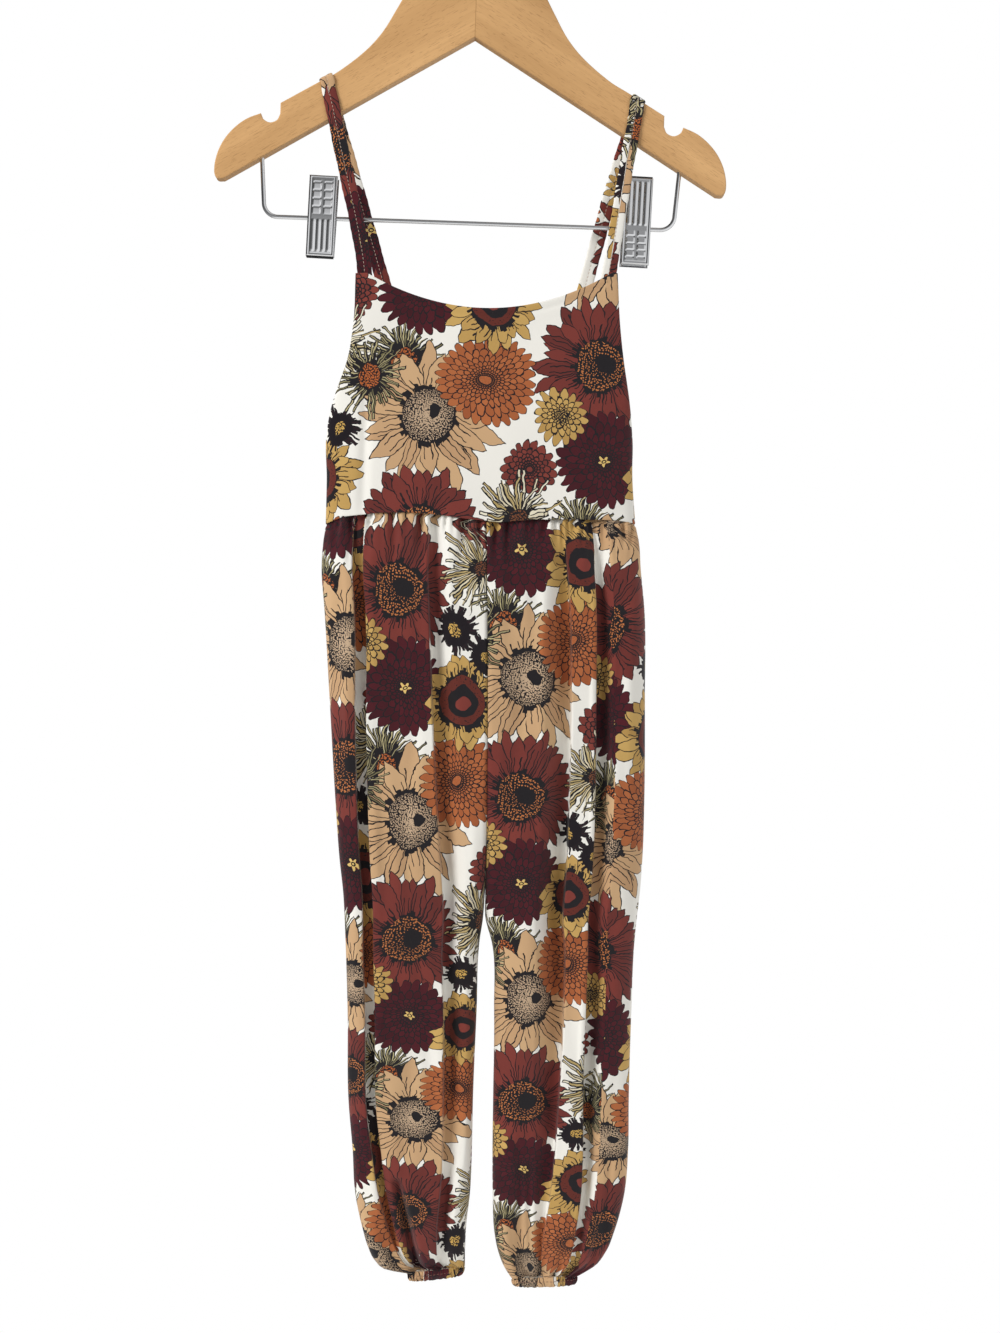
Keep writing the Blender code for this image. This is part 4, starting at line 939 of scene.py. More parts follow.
def bodice_panel(name, sections, neck, face, sizes, rng):
    """The outer points of a bodice panel, with the place of each on the cloth."""
    border = sizes.thickness / 2
    heights = np.linspace(0, neck["corner"], BODICE_LEVELS)
    levels = bodice_levels(name, sections, heights, border)
    share_top = np.minimum(1.0, np.abs(levels[-1, 0] / MM - neck["middle"]) / neck["half"])
    tall = neck["low"] + (neck["corner"] - neck["low"]) * share_top ** 2
    rise = lines(1.0, BODICE_GRID[1], border / (neck["corner"] * MM))[:, None]
    height = rise * tall[None, :]
    spot = height / heights[1]
    low = np.clip(np.floor(spot).astype(int), 0, len(heights) - 2)
    part = spot - low
    column = np.arange(len(tall))[None, :]
    x, deep, u = ((1 - part) * levels[low, k, column] + part * levels[low + 1, k, column] for k in range(3))
    z = WAIST_LEVEL + WAIST_GAP / 2 + height * MM + waist_rise(x, face) * (1 - rise)
    edge = np.minimum(np.minimum(height, tall - height) / BODICE_FADE, 1)
    edge = edge * np.clip((deep / MM - 1) / 9, 0, 1)
    dent = gathers(rng, x / MM, height, *BODICE_GATHER_ENDS, *BODICE_GATHERS) * MM * sizes.gather
    dent += crease_depth(name, x, z)
    dent += undulation(rng, x / MM, z / MM, *BODICE_WAVES) * MM * np.clip(edge, 0, 1)
    dent += NECK_SEAM * bell((tall - height - NECK_HEM) / 1.6)
    y = face * (CLOTH_GAP / 2 + np.maximum(deep - dent * np.clip(deep / SHALLOW, 0, 1), 0))
    down = PRINT_RUN[name]["height"] * MM - height * MM
    return np.stack([x, y, z], axis=2), np.stack([-u if face > 0 else u, -down], axis=2)


def valleys_of(name, along, share, span):
    """How far the cloth falls in, the sideways lean of the folds' lips, and where cloth is hidden."""
    deepest = np.zeros(share.shape)
    lean = np.zeros(share.shape)
    hidden = np.zeros(share.shape)
    for valley in VALLEYS[name]:
        rows = follow_all(valley["rows"], VALLEY_COLUMNS, along)
        centre, deep, half = (values[:, None] for values in rows)
        off = (share - centre) * span / (half * MM)
        scaled = np.where(off > 0, off / valley["outer"], off / valley["inner"])
        slope = smooth_step((1 - np.abs(scaled)) / (1 - valley["floor"]))
        deepest = np.maximum(deepest, deep * MM * slope)
        strength = np.clip(deep / FULL_VALLEY, 0, 1)
        crisp = np.where(off > 0, valley["outer"], valley["inner"]) < 1
        lip, crown = (bell((np.abs(scaled) - at) / wide) for at, wide in (LIP_PLACE, CROWN_PLACE))
        lean -= np.sign(off) * lip * crisp * LIP_LEAN * strength
        deepest -= crown * FOLD_CROWN * strength
        for wall in (-0.9, 0.9):
            hidden += (scaled > wall) * valley["hidden"] / 2 * MM
    return deepest, lean, hidden


# Across each leg panel's foot: the place, and the place on the cloth. The casings go on from it.
HEM_PRINT = {}


def leg_gathers(rng, x, drop, inner, outer, free):
    """How far the puckers below the waist seam and above the hem fall in, in millimetres."""
    tuck = 0
    low, high = sorted((inner[0, 0] / MM, outer[0, 0] / MM))
    for from_low, from_high, *gather in WAIST_GATHERS:
        tuck = tuck + gathers(rng, x / MM, drop, low + from_low, high - from_high, *gather)
    tuck *= 0.5 + 0.5 * smooth_step(drop / 4)
    low, high = sorted((inner[-1, 0] / MM, outer[-1, 0] / MM))
    spread = (outer - inner) / (outer[-1, 0] - inner[-1, 0])
    around = (low + high) / 2 + (x / MM - (inner + outer) / 2 / MM) / spread
    for gather in HEM_GATHERS:
        tuck += gathers(rng, around, drop[-1, 0] - drop, low, high, *gather) * free
    return tuck


def leg_height(x, drop, face, slope, foot):
    """The height of a leg panel's points: the seam's wave above, and the drawn-up hem's tilt below."""
    length, outer, inner = foot[:3]
    wave = waist_rise(x, face) * np.clip(1 - drop / WAIST_WAVE_REACH, 0, None)
    z = WAIST_LEVEL - WAIST_GAP / 2 - drop * MM + wave
    fade = np.clip(1 - (length - drop) / HEM_TILT_REACH, 0, 1)
    z = z + SEAM_TUCK * np.clip(1 - drop / 4, 0, 1) - HEM_DROP * smooth_step(fade)
    return z + slope * (x - (outer + inner) / 2 * MM) * fade * fade


def leg_map(name, face, side, drops, run, x, hidden, share):
    """The place of a leg panel's points on the cloth, and the hidden cloth from its anchor on."""
    told = PRINT_RUN[name]
    row = int(np.argmin(np.abs(drops - told["drop"])))
    order = np.argsort(x[row])
    anchor = np.interp(told["across"] * MM, x[row][order], share[row][order])
    anchored = np.array([np.interp(anchor, *pair) for pair in zip(share, run)])
    drawn_up = drops[-1] - HEM_GATHER
    whole = run[:, -1] / np.interp(drawn_up, drops, run[:, -1])
    taken_up = np.where(drops > drawn_up, np.minimum(whole, 1), 1)[:, None]
    turn = -side if face > 0 else side
    u = (run - anchored[:, None]) / taken_up * turn
    down = np.interp(drops, *zip(*told["cloth"]))[:, None] * MM
    hidden = (hidden - np.interp(anchor, share[row], hidden[row])) * turn
    order = np.argsort(x[-1])
    HEM_PRINT[name] = x[-1][order], (u + hidden)[-1][order]
    return np.stack([u, np.broadcast_to(-down, u.shape)], axis=2), hidden


def leg_panel(name, sections, slope, face, columns, rows, sizes, rng):
    """The outer points of a leg panel, its place on the cloth, and the cloth hidden at each point."""
    length = sections[-1][0]
    side = math.copysign(1, sections[0][1])
    drops = lines(length, rows, sizes.thickness / 2 / MM)
    drop = drops[:, None]
    share = 0.35 * section_shares() + 0.65 * np.linspace(0, 1, SECTION_POINTS)
    share = np.repeat(share[None, :], len(drops), axis=0)
    outer, inner, depth, closed = (values[:, None] for values in follow_all(sections, LEG_COLUMNS, drops))
    closed = np.clip(closed, 0, 1)
    tucked = smooth_step(1 - drop / 3)
    under = SEAM_TUCK * (1 - closed) * (side < 0)
    inner = inner * MM + side * CLOTH_GAP / 2 - side * under * 0.8
    outer = outer * MM - side * SEAM_TUCK * tucked
    span = np.abs(outer - inner)
    bulge = rounded_end(2 * (1 - share)) * (1 - closed + closed * rounded_end(2 * share)) * (depth * MM)
    fallen, lean, hidden = valleys_of(name, drops / length, share, span)
    x = inner + (outer - inner) * share
    z = WAIST_LEVEL - drop * MM
    free = np.clip(np.minimum(share, 1 - share) * span / EDGE_REACH, 0, 1)
    tuck = leg_gathers(rng, x, drop, inner, outer, free)
    soft = undulation(rng, x / MM, z / MM, *LEG_WAVES) * free * np.clip(drop / WAIST_WAVE_REACH, 0, 1)
    soft += undulation(rng, x / MM, z / MM, *LEG_RIPPLES) * free
    uneven = 1 + 0.3 * np.sin(drop * 0.55) * np.sin(drop * 0.21)
    seam_height, seam_half = SEAT_SEAM
    from_seam = share * span / (seam_half * MM)
    seam = seam_height * bell(from_seam) * (1 - closed) * uneven
    fall = fallen + (tuck * sizes.gather + soft + seam) * MM + crease_depth(name, x, z) + SEAM_TUCK * tucked
    fall += under * smooth_step(1.6 - from_seam)
    deep = np.maximum(bulge - fall * np.clip(bulge / SHALLOW, 0, 1), 0)
    y = face * (CLOTH_GAP / 2 + deep)
    run, x, y, hidden, share = resampled_rows(x + side * lean, y, (np.where(hidden > 0, hidden, 0), share),
                                              columns, sizes.thickness / 2)
    z = leg_height(x, drop, face, slope, sections[-1])
    return np.stack([x, y, z], axis=2), *leg_map(name, face, side, drops, run, x, hidden, share)


def clear_of(face, side=0, edge=0.0):
    """A function that keeps a panel's points on their own side of the seams."""
    def keep(points):
        points = points.copy()
        points[..., 1] = face * np.maximum(face * points[..., 1], CLOTH_GAP / 2)
        if side:
            limit = edge[:, None] if np.ndim(edge) else edge
            points[..., 0] = side * np.maximum(side * points[..., 0], side * limit)
        return points
    return keep


def cuff_skin(cuff, thick, rng):
    """The outer points of a hem casing, its place on the cloth, and the direction away from it."""
    columns, rows = CUFF_GRID
    length, outer, inner, depth, _ = LEG_SECTIONS[cuff["leg"]][-1]
    low, high = sorted((inner * MM, outer * MM))
    middle, half = (low + high) / 2, (high - low) / 2
    top = WAIST_LEVEL - WAIST_GAP / 2 - length * MM - CUFF_GAP - HEM_DROP
    angle = np.linspace(0, TURN, columns, endpoint=False)[None, :]
    share = lines(1.0, rows, thick / 2 / CUFF_HEIGHT)[:, None]
    crimp = np.zeros((1, columns))
    for waves, height in CUFF_CRIMPS:
        phase = waves * angle / 2 + rng.uniform(0, TURN) + 0.4 * np.sin(3 * angle)
        crimp += height * np.abs(np.sin(phase)) ** 0.7
    crimp = crimp * (0.72 + 0.28 * np.sin(math.pi * share)) * MM
    swell = cuff["bulge"] * MM * np.sin(math.pi * share) ** 0.6 - 0.5 * MM * bell((share - 0.17) / 0.07)
    reach = swell + crimp - CUFF_INSET - SEAM_TUCK * np.clip(1 - share / 0.22, 0, 1) - CUFF_TAPER * share
    c, s = np.cos(angle), np.sin(angle)
    x = middle + (half + reach) * np.sign(c) * np.abs(c) ** CUFF_SQUARENESS
    y = (depth * MM + reach) * np.sign(s) * np.abs(s) ** CUFF_SQUARENESS
    z = top - CUFF_HEIGHT * share + cuff["slope"] * (x - middle)
    z = z + SEAM_TUCK * np.clip(1 - share / 0.3, 0, 1) - 0.5 * crimp * share
    front, back = (np.interp(x, *HEM_PRINT[part + cuff["leg"]]) for part in ("leg_front_", "leg_back_"))
    cut = PRINT_RUN["leg_front_" + cuff["leg"]]["cloth"][-1][1] * MM
    v = np.broadcast_to(-cut - CUFF_HEIGHT * share, x.shape)
    away = np.stack([x - middle, y, np.zeros_like(x)], axis=2)
    return np.stack([x, y, z], axis=2), np.stack([np.where(s < 0, front, back), v], axis=2), away


def strap_route(strap):
    """Places down the middle of a strap and its lean, from the front end over the wood to the back."""
    def side_route(rows):
        return [(*(value * MM for value in row[:3]), math.radians(row[3])) for row in rows]

    x, z = (value * MM for value in strap["top"])
    slope = math.radians(strap["slope"])
    across = Vector((-math.sin(slope), 0, math.cos(slope)))
    radius = STRAP_BEND + STRAP_GAP + STRAP_THICK / 2
    corner = WOOD_THICK / 2 - STRAP_BEND
    route = side_route(strap["front"])
    steps = np.radians(np.linspace(0, 90, 7))
    for face, angles in ((-1, steps), (1, steps[::-1])):
        for angle in angles:
            spot = Vector((x, face * (corner + radius * math.cos(angle)), z))
            route.append((*(spot + across * (radius * math.sin(angle) - STRAP_BEND)), slope))
    return np.array(route + side_route(strap["back"]))


def smooth_route(route, step):
    """The route on a smooth curve with a place at every step of its length."""
    chord = summed(np.linalg.norm(np.diff(route[:, :3], axis=0), axis=1))
    spots = np.linspace(0, chord[-1], int(chord[-1] / step) + 1)
    columns = [str(k) for k in range(route.shape[1] + 1)]
    return np.stack(follow_all(np.column_stack([chord, route]), columns, spots), axis=1), spots


def strap_frame(route):
    """Unit vectors across a strap and through it at each place of its route."""
    lean = route[:, 3]
    wide = np.stack([np.cos(lean), np.zeros(len(lean)), np.sin(lean)], axis=1)
    tangent = np.gradient(route[:, :3], axis=0)
    thick = np.cross(tangent, wide)
    thick /= np.linalg.norm(thick, axis=1)[:, None]
    wide = np.cross(thick, tangent)
    wide /= np.linalg.norm(wide, axis=1)[:, None]
    return wide, thick


def strap_section():
    """A folded strap's outline, from -1 to 1 across and through, with a channel along each face."""
    upper = []
    for a in np.linspace(-1, 1, 15):
        round_off = (1 - abs(a) ** 7) ** 0.5
        upper.append((a, max(round_off, 0.2) - 0.26 * bell(a / 0.1) + 0.05 * abs(math.sin(3 * a))))
    return upper + [(a, -b) for a, b in upper[::-1]]


def tube_faces(rows, around):
    """The faces of a flat tube through this many sections, with both ends closed."""
    index = np.arange(rows * around).reshape(rows, around)
    turned = np.roll(index, -1, axis=1)
    quads = np.stack([index[:-1], turned[:-1], turned[1:], index[1:]], axis=2).reshape(-1, 4)
    caps = []
    for row, order in ((index[0], (0, 1, 2, 3)), (index[-1], (3, 2, 1, 0))):
        for k in range(around // 2 - 1):
            quad = (row[k + 1], row[k], row[around - 1 - k], row[around - 2 - k])
            caps.append([quad[i] for i in order])
    return np.concatenate([quads, np.array(caps)])


def strap_mesh(name, strap, width, rng):
    """A folded and stitched strap, with its route and the directions through it."""
    route, run = smooth_route(strap_route(strap), STRAP_STEP)
    wide, thick = strap_frame(route)
    section = strap_section()
    wobble = 1 + 0.03 * np.sin(run / MM * 0.21 + rng.uniform(0, TURN)) + 0.02 * np.sin(run / MM * 0.9)
    across, along = (value * MM for value in strap["print"])
    points = []
    uvs = []
    for k in range(len(route)):
        for a, b in section:
            points.append(route[k, :3] + wide[k] * a * wobble[k] * width / 2 + thick[k] * b * STRAP_THICK / 2)
            place = a if b > 0 else 2 * math.copysign(1, a) - a
            uvs.append((across + place * width / 2, along + run[k]))
    faces = tube_faces(len(route), len(section))
    mesh = mesh_of(name, np.array(points), faces, np.array(uvs)[faces])
    facing_out(mesh)
    return mesh, route, thick


def hanger_matrix():
    """Places the hanger's own frame, tilted as it hangs, with the hook's bearing point at the origin."""
    stand = Matrix.Rotation(math.radians(90), 4, "X")
    return Matrix.Rotation(HANGER_TILT, 4, "Y") @ Matrix.Translation((0, 0, -HOOK_TOP)) @ stand


def smooth_run(points, steps):
    """Points along a smooth curve through these points, without the last one."""
    points = [np.array(p, float) for p in points]
    padded = [2 * points[0] - points[1], *points, 2 * points[-1] - points[-2]]
    run = []
    for a, b, c, d in zip(padded, padded[1:], padded[2:], padded[3:]):
        for step in range(steps):
            t = step / steps
            run.append(0.5 * (2 * b + (c - a) * t + (2 * a - 5 * b + 4 * c - d) * t * t
                              + (3 * b - a - 3 * c + d) * t ** 3))
    return run


def wood_outline():
    """The closed outline of the wood, in metres, in the hanger's frame."""
    half = [np.array(WOOD_UNDERSIDE[0], float)]
    half += smooth_run(WOOD_END, WOOD_STEPS["end"])
    half += smooth_run(WOOD_NOTCH[:-1], WOOD_STEPS["notch"])
    half += [np.array(WOOD_NOTCH[-2], float)]
    half += smooth_run(WOOD_UPPER, WOOD_STEPS["upper"])
    other = [point * (-1, 1) for point in half[:0:-1]]
    return [point * MM for point in half + [np.array(WOOD_UPPER[-1], float)] + other]


def evaluated_mesh(item):
    """The mesh that an object gives with its bevel or its modifier."""
    graph = bpy.context.evaluated_depsgraph_get()
    return bpy.data.meshes.new_from_object(item.evaluated_get(graph))


def curve_mesh(name, points, matrix, cyclic=False, **settings):
    """A mesh from a curve through these points, with the curve's bevel or extrusion, in its place."""
    curve = bpy.data.curves.new(name, "CURVE")
    for key, value in settings.items():
        setattr(curve, key, value)
    spline = curve.splines.new("POLY")
    spline.points.add(len(points) - 1)
    for slot, point in zip(spline.points, points):
        slot.co = (*point, *([0.0] * (3 - len(point))), 1.0)
    spline.use_cyclic_u = cyclic
    item = bpy.data.objects.new(name, curve)
    bpy.context.scene.collection.objects.link(item)
    mesh = evaluated_mesh(item)
    bpy.data.objects.remove(item)
    bpy.data.curves.remove(curve)
    shape = bmesh.new()
    shape.from_mesh(mesh)
    bmesh.ops.remove_doubles(shape, verts=shape.verts, dist=1e-6)
    shape.transform(matrix)
    bmesh.ops.recalc_face_normals(shape, faces=shape.faces)
    shape.to_mesh(mesh)
    shape.free()
    mesh.name = name
    mesh.materials.clear()
    mesh.shade_smooth()
    mesh.set_sharp_from_angle(angle=math.radians(42))
    return mesh


def wire_mesh(name, points, diameter, matrix=None):
    """A round wire with closed ends."""
    return curve_mesh(name, points, matrix or hanger_matrix(), dimensions="3D", bevel_depth=diameter / 2,
                      bevel_resolution=6, use_fill_caps=True)


def hook_points():
    """The hook's wire: a shank from the neck and an open round of about three quarters of a turn."""
    radius = HOOK_INNER_RADIUS + HOOK_WIRE / 2
    middle = HOOK_TOP - HOOK_INNER_RADIUS
    route = [(0, HOOK_SHANK_FOOT), (0, NECK_TOP)]
    route += [(x * MM, NECK_TOP + rise * MM) for x, rise in HOOK_SHANK_BENDS]
    for angle in np.linspace(*HOOK_TURN, 64):
        route.append((radius * math.cos(angle), middle + radius * math.sin(angle)))
    return route


def bar_points():
    """The clip bar's wire, from one socket in the wood to the other."""
    foot = (BAR_HALF_FOOT - BAR_BEND, BAR_LEVEL + BAR_BEND)
    corner = [(foot[0] + BAR_BEND * math.cos(angle), foot[1] + BAR_BEND * math.sin(angle))
              for angle in np.radians(np.linspace(-90, 0, 16))]
    under = -BAR_HALF_TOP * WOOD_UNDER_SLOPE
    right = corner + [(BAR_HALF_TOP, under - MM), (BAR_HALF_TOP, under + BAR_SOCKET)]
    return [(-x, y) for x, y in reversed(right)] + right


def clip_matrix(clip):
    """Places a clip's own frame, jaws down and grip up, where it hangs on the bar."""
    spot = hanger_matrix() @ Vector((clip["along"] * MM, BAR_LEVEL - CLIP_DROP, 0))
    turn = Matrix.Rotation(CLIP_LEAN, 4, "Y")
    if clip["jaw_up"]:
        turn = turn @ Matrix.Rotation(math.radians(180), 4, "X")
    return Matrix.Translation(spot) @ turn


def plate_relief(a, b, grip, jaw):
    """How far a clip plate's pressed pattern stands out, in mm, at this place across and along."""
    edge = np.minimum(np.minimum(CLIP_WIDTH / 2 / MM - np.abs(a), grip - b), b + jaw)
    relief = -0.4 * bell((edge - 2.0) / 0.35) - 1.5 * smooth_step((1.1 - edge) / 1.1) ** 2
    ridge = np.abs((a + RIB_FIELD) % RIB_PITCH - RIB_PITCH / 2)
    reach = np.minimum(-1.5 - b, b + jaw - 3.2)
    round_end = np.clip((reach - 0.2 - 0.5 * (ridge / 1.3) ** 2) / 1.1, 0, 1)
    inside = (np.abs(a) < RIB_FIELD) * np.sqrt(np.clip(round_end, 0, 1))
    relief += 0.75 * inside * np.sqrt(np.clip(1 - (ridge / 1.45) ** 2, 0, 1))
    pitch = (grip - 6.5) / LOUVRES
    low = (b - 2.0) % pitch / pitch
    row_inside = smooth_step((b - 1.4) / 0.8) * smooth_step((grip - 3.4 - b) / 0.8)
    across = np.clip((3.0 - np.abs(np.abs(a) - 3.9)) / 0.7, 0, 1)
    louvre = np.where(low < 0.72, (low / 0.72) ** 0.8, 0.0)
    relief += 0.95 * row_inside * smooth_step(across) * (louvre - 0.25 * (low > 0.72))
    return relief


def clip_plate(name, clip, face):
    """One pressed plate of a clip, front or back, with its pattern in relief."""
    grip, jaw = clip["grip"], clip["jaw"]
    columns, rows = PLATE_GRID
    wide = CLIP_WIDTH / MM
    a = lines(wide, columns, 0.5)[None, :] - wide / 2
    b = (lines(float(grip + jaw), rows, 0.5) - jaw)[:, None]
    bent = (CLIP_JAW_DEPTH / MM, 6.15, 6.35, 6.5, CLIP_GRIP_DEPTH / MM)
    deep = np.interp(b, (-jaw, -2, 0, 2, grip), bent) + plate_relief(a, b, grip, jaw)
    outer = np.stack([a * MM + 0 * b, face * deep * MM, b * MM + 0 * a], axis=2)
    return shell(name, outer, CLIP_WALL, facing(outer, face), np.zeros((*deep.shape, 2)))


def cheek_mesh(name, clip, side):
    """A clip's side cheek: a flat ear round the bar that narrows towards the jaws."""
    rows = []
    for b in np.linspace(-CLIP_EAR, CLIP_EAR, 13):
        narrowing = (CLIP_PIVOT_DEPTH - CLIP_JAW_DEPTH) * max(-b, 0) / (clip["jaw"] * MM)
        rows.append((b, CLIP_PIVOT_DEPTH - 0.7 * MM - narrowing))
    x1, x2 = (side * (CLIP_WIDTH / 2 - inset * MM) for inset in (0.5, 1.4))
    points = [(x, y * reach, b) for b, reach in rows for x, y in ((x1, -1), (x1, 1), (x2, 1), (x2, -1))]
    faces = []
    for k in range(len(rows) - 1):
        for c in range(4):
            after = (c + 1) % 4
            faces.append((4 * k + c, 4 * k + after, 4 * k + 4 + after, 4 * k + 4 + c))
    faces += [(0, 3, 2, 1), tuple(4 * (len(rows) - 1) + c for c in range(4))]
    mesh = mesh_of(name, np.array(points), np.array(faces))
    facing_out(mesh)
    mesh.set_sharp_from_angle(angle=math.radians(40))
    return mesh


def spring_mesh(name):
    """The coil spring round the bar between a clip's plates, with its two legs."""
    legs = [(side * SPRING_HALF * MM, SPRING_RADIUS, 9 * MM) for side in (-1, 1)]
    coil = []
    for angle in np.linspace(0, TURN * SPRING_TURNS, SPRING_TURNS * 18 + 1):
        x = (-SPRING_HALF + 2 * SPRING_HALF * angle / (TURN * SPRING_TURNS)) * MM
        coil.append((x, SPRING_RADIUS * math.cos(angle), SPRING_RADIUS * math.sin(angle)))
    return curve_mesh(name, [legs[0], *coil, legs[1]], Matrix(), dimensions="3D", bevel_depth=0.5 * MM,
                      bevel_resolution=1, use_fill_caps=True)


def joined(name, meshes, matrix):
    """One mesh of several, moved into place."""
    shape = bmesh.new()
    for mesh in meshes:
        shape.from_mesh(mesh)
    shape.transform(matrix)
    made = bpy.data.meshes.new(name)
    shape.to_mesh(made)
    shape.free()
    for mesh in meshes:
        bpy.data.meshes.remove(mesh)
    return made


def stitch_tree():
    """A tree that lays thread stitches along a line."""
    tree = bpy.data.node_groups.new("thread_stitches", "GeometryNodeTree")
    face = tree.interface
    face.new_socket("Geometry", in_out="INPUT", socket_type="NodeSocketGeometry")
    for label, value in STITCH_SIZES.items():
        socket = face.new_socket(label, in_out="INPUT", socket_type="NodeSocketFloat")
        socket.default_value = value
    face.new_socket("Thread", in_out="INPUT", socket_type="NodeSocketMaterial")
    face.new_socket("Geometry", in_out="OUTPUT", socket_type="NodeSocketGeometry")
    given = tree.nodes.new("NodeGroupInput").outputs
    line = add_node(tree, "GeometryNodeMeshToCurve", {"Mesh": given["Geometry"]})
    spaced = add_node(tree, "GeometryNodeResampleCurve",
                      {"Curve": line.outputs["Curve"], "Length": given["Spacing"]}, mode="LENGTH")
    tangent = add_node(tree, "GeometryNodeInputTangent", {})
    turned = add_node(tree, "FunctionNodeAlignRotationToVector", {"Vector": tangent.outputs["Tangent"]},
                      axis="Z")
    grain = add_node(tree, "GeometryNodeMeshUVSphere", {"Segments": 6, "Rings": 4, "Radius": 0.5})
    wide = given["Thread width"]
    size = add_node(tree, "ShaderNodeCombineXYZ", {"X": wide, "Y": wide, "Z": given["Stitch length"]})
    laid = add_node(tree, "GeometryNodeInstanceOnPoints", {
        "Points": spaced.outputs["Curve"], "Instance": grain.outputs["Mesh"],
        "Rotation": turned.outputs["Rotation"], "Scale": size.outputs["Vector"]})
    real = add_node(tree, "GeometryNodeRealizeInstances", {"Geometry": laid.outputs["Instances"]})
    coated = add_node(tree, "GeometryNodeSetMaterial",
                      {"Geometry": real.outputs["Geometry"], "Material": given["Thread"]})
    add_node(tree, "NodeGroupOutput", {"Geometry": coated.outputs["Geometry"]})
    return tree


def stitch_piece(name, routes, thread, spacing, closed=False):
    """A piece of stitches along these lines of points, as plain mesh."""
    tree = bpy.data.node_groups.get("thread_stitches") or stitch_tree()
    points = [tuple(point) for route in routes for point in route]
    edges = []
    start = 0
    for route in routes:
        edges += [(start + k, start + k + 1) for k in range(len(route) - 1)]
        if closed:
            edges.append((start + len(route) - 1, start))
        start += len(route)
    path = bpy.data.meshes.new(name)
    path.from_pydata(points, edges, [])
    item = bpy.data.objects.new(name + "_path", path)
    bpy.context.scene.collection.objects.link(item)
    modifier = item.modifiers.new("stitches", "NODES")
    modifier.node_group = tree
    values = {"Spacing": spacing, "Thread": thread}
    for socket in tree.interface.items_tree:
        if socket.in_out == "INPUT" and socket.name in values:
            modifier[socket.identifier] = values[socket.name]
    bpy.context.view_layer.update()
    mesh = evaluated_mesh(item)
    item.modifiers.remove(modifier)
    bpy.data.objects.remove(item)
    bpy.data.meshes.remove(path)
    mesh.name = name
    mesh.shade_smooth()
    return new_piece(name, mesh)


def wood_material(colour):
    """Clear-varnished beech: long soft grain along each arm, short dark pores, a joint in the middle."""
    made, shader = plain_material("varnished_beech", colour, 0.45, specular=0.35, coat=0.08)
    tree = made.node_tree
    spot = add_node(tree, "ShaderNodeTexCoord", {}).outputs["Object"]
    level = add_node(tree, "ShaderNodeMapping", {"Vector": spot, "Rotation": (0, HANGER_TILT, 0)},
                     vector_type="TEXTURE")
    x, y, z = split(tree, "ShaderNodeSeparateXYZ", level.outputs[0])
    side = x > 0
    away = abs(x)
    slope = math.atan(WOOD_UNDER_SLOPE)
    along = away * math.cos(slope) - z * math.sin(slope)
    over = away * math.sin(slope) + z * math.cos(slope)

    def noise(pace_along, pace_over, pace_deep, detail, shift):
        """Noise in the grain's direction, shifted on one arm so that the arms differ."""
        place = add_node(tree, "ShaderNodeCombineXYZ",
                         {0: along * pace_along + side * shift, 1: over * pace_over, 2: y * pace_deep})
        node = add_node(tree, "ShaderNodeTexNoise",
                        {"Vector": place.outputs[0], "Scale": 1.0, "Detail": detail})
        return Signal(tree, node.outputs[0])

    def toned(red, green, blue):
        """The wood's colour with each part at this share."""
        return (colour[0] * red, colour[1] * green, colour[2] * blue, 1)

    broad = noise(7, 42, 60, 2.0, 3.7)
    fine = noise(22, 900, 900, 2.0, 9.1)
    pores = noise(190, 2600, 2600, 0.0, 5.3)
    light, dark = toned(1.13, 1.12, 1.1), toned(0.80, 0.74, 0.66)
    tone = mixed(tree, highest(lowest(broad.times_plus(2.2, -0.6), 1.0), 0.0), dark, light)
    tone = mixed(tree, highest((fine - 0.5).times_plus(1.1, 0.12), 0.0), tone, dark)
    tone = mixed(tree, (pores > 0.72) * 0.45, tone, toned(0.42, 0.34, 0.26))
    joint = (away < WOOD_JOINT / 2) * (z > -HOOK_TOP - WOOD_JOINT_FOOT)
    tone = mixed(tree, joint * 0.55, tone, toned(0.5, 0.42, 0.32))
    tree.links.new(tone.socket, shader.inputs["Base Color"])
    return made


def steel_material(roughness):
    """Bright chromed steel."""
    made, _ = plain_material("bright_chrome", colour_of(214, 215, 217), roughness, metallic=1.0)
    return made


def rubber_material():
    """Dark rubber of the clips' pads."""
    made, _ = plain_material("clip_rubber", colour_of(24, 24, 26), 0.55, specular=0.4)
    return made


def thread_material(name, colour):
    """Sewing thread."""
    made, _ = plain_material(name, colour, 0.7, specular=0.25)
    return made


def cloth_piece(name, mesh, materials, trims=()):
    """A cloth piece for a node of the same name, which it hides; it and its trims hang under the root."""
    piece = new_piece(name + "_cloth", mesh, *materials)
    for item in (piece, *trims):
        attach(item, "root")
    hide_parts(name)
    return piece


def hard_piece(name, mesh, slot, material, *nodes):
    """A piece of wood or metal that stands for these nodes."""
    piece = new_piece(name, mesh, material)
    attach(piece, "root")
    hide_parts(*nodes)
    return piece


def material_once(name, make, *values):
    return bpy.data.materials.get(name) or make(*values)


def cloth_materials():
    return (material_once("flower_jersey", printed_material),
            material_once("jersey_inside", reverse_material))


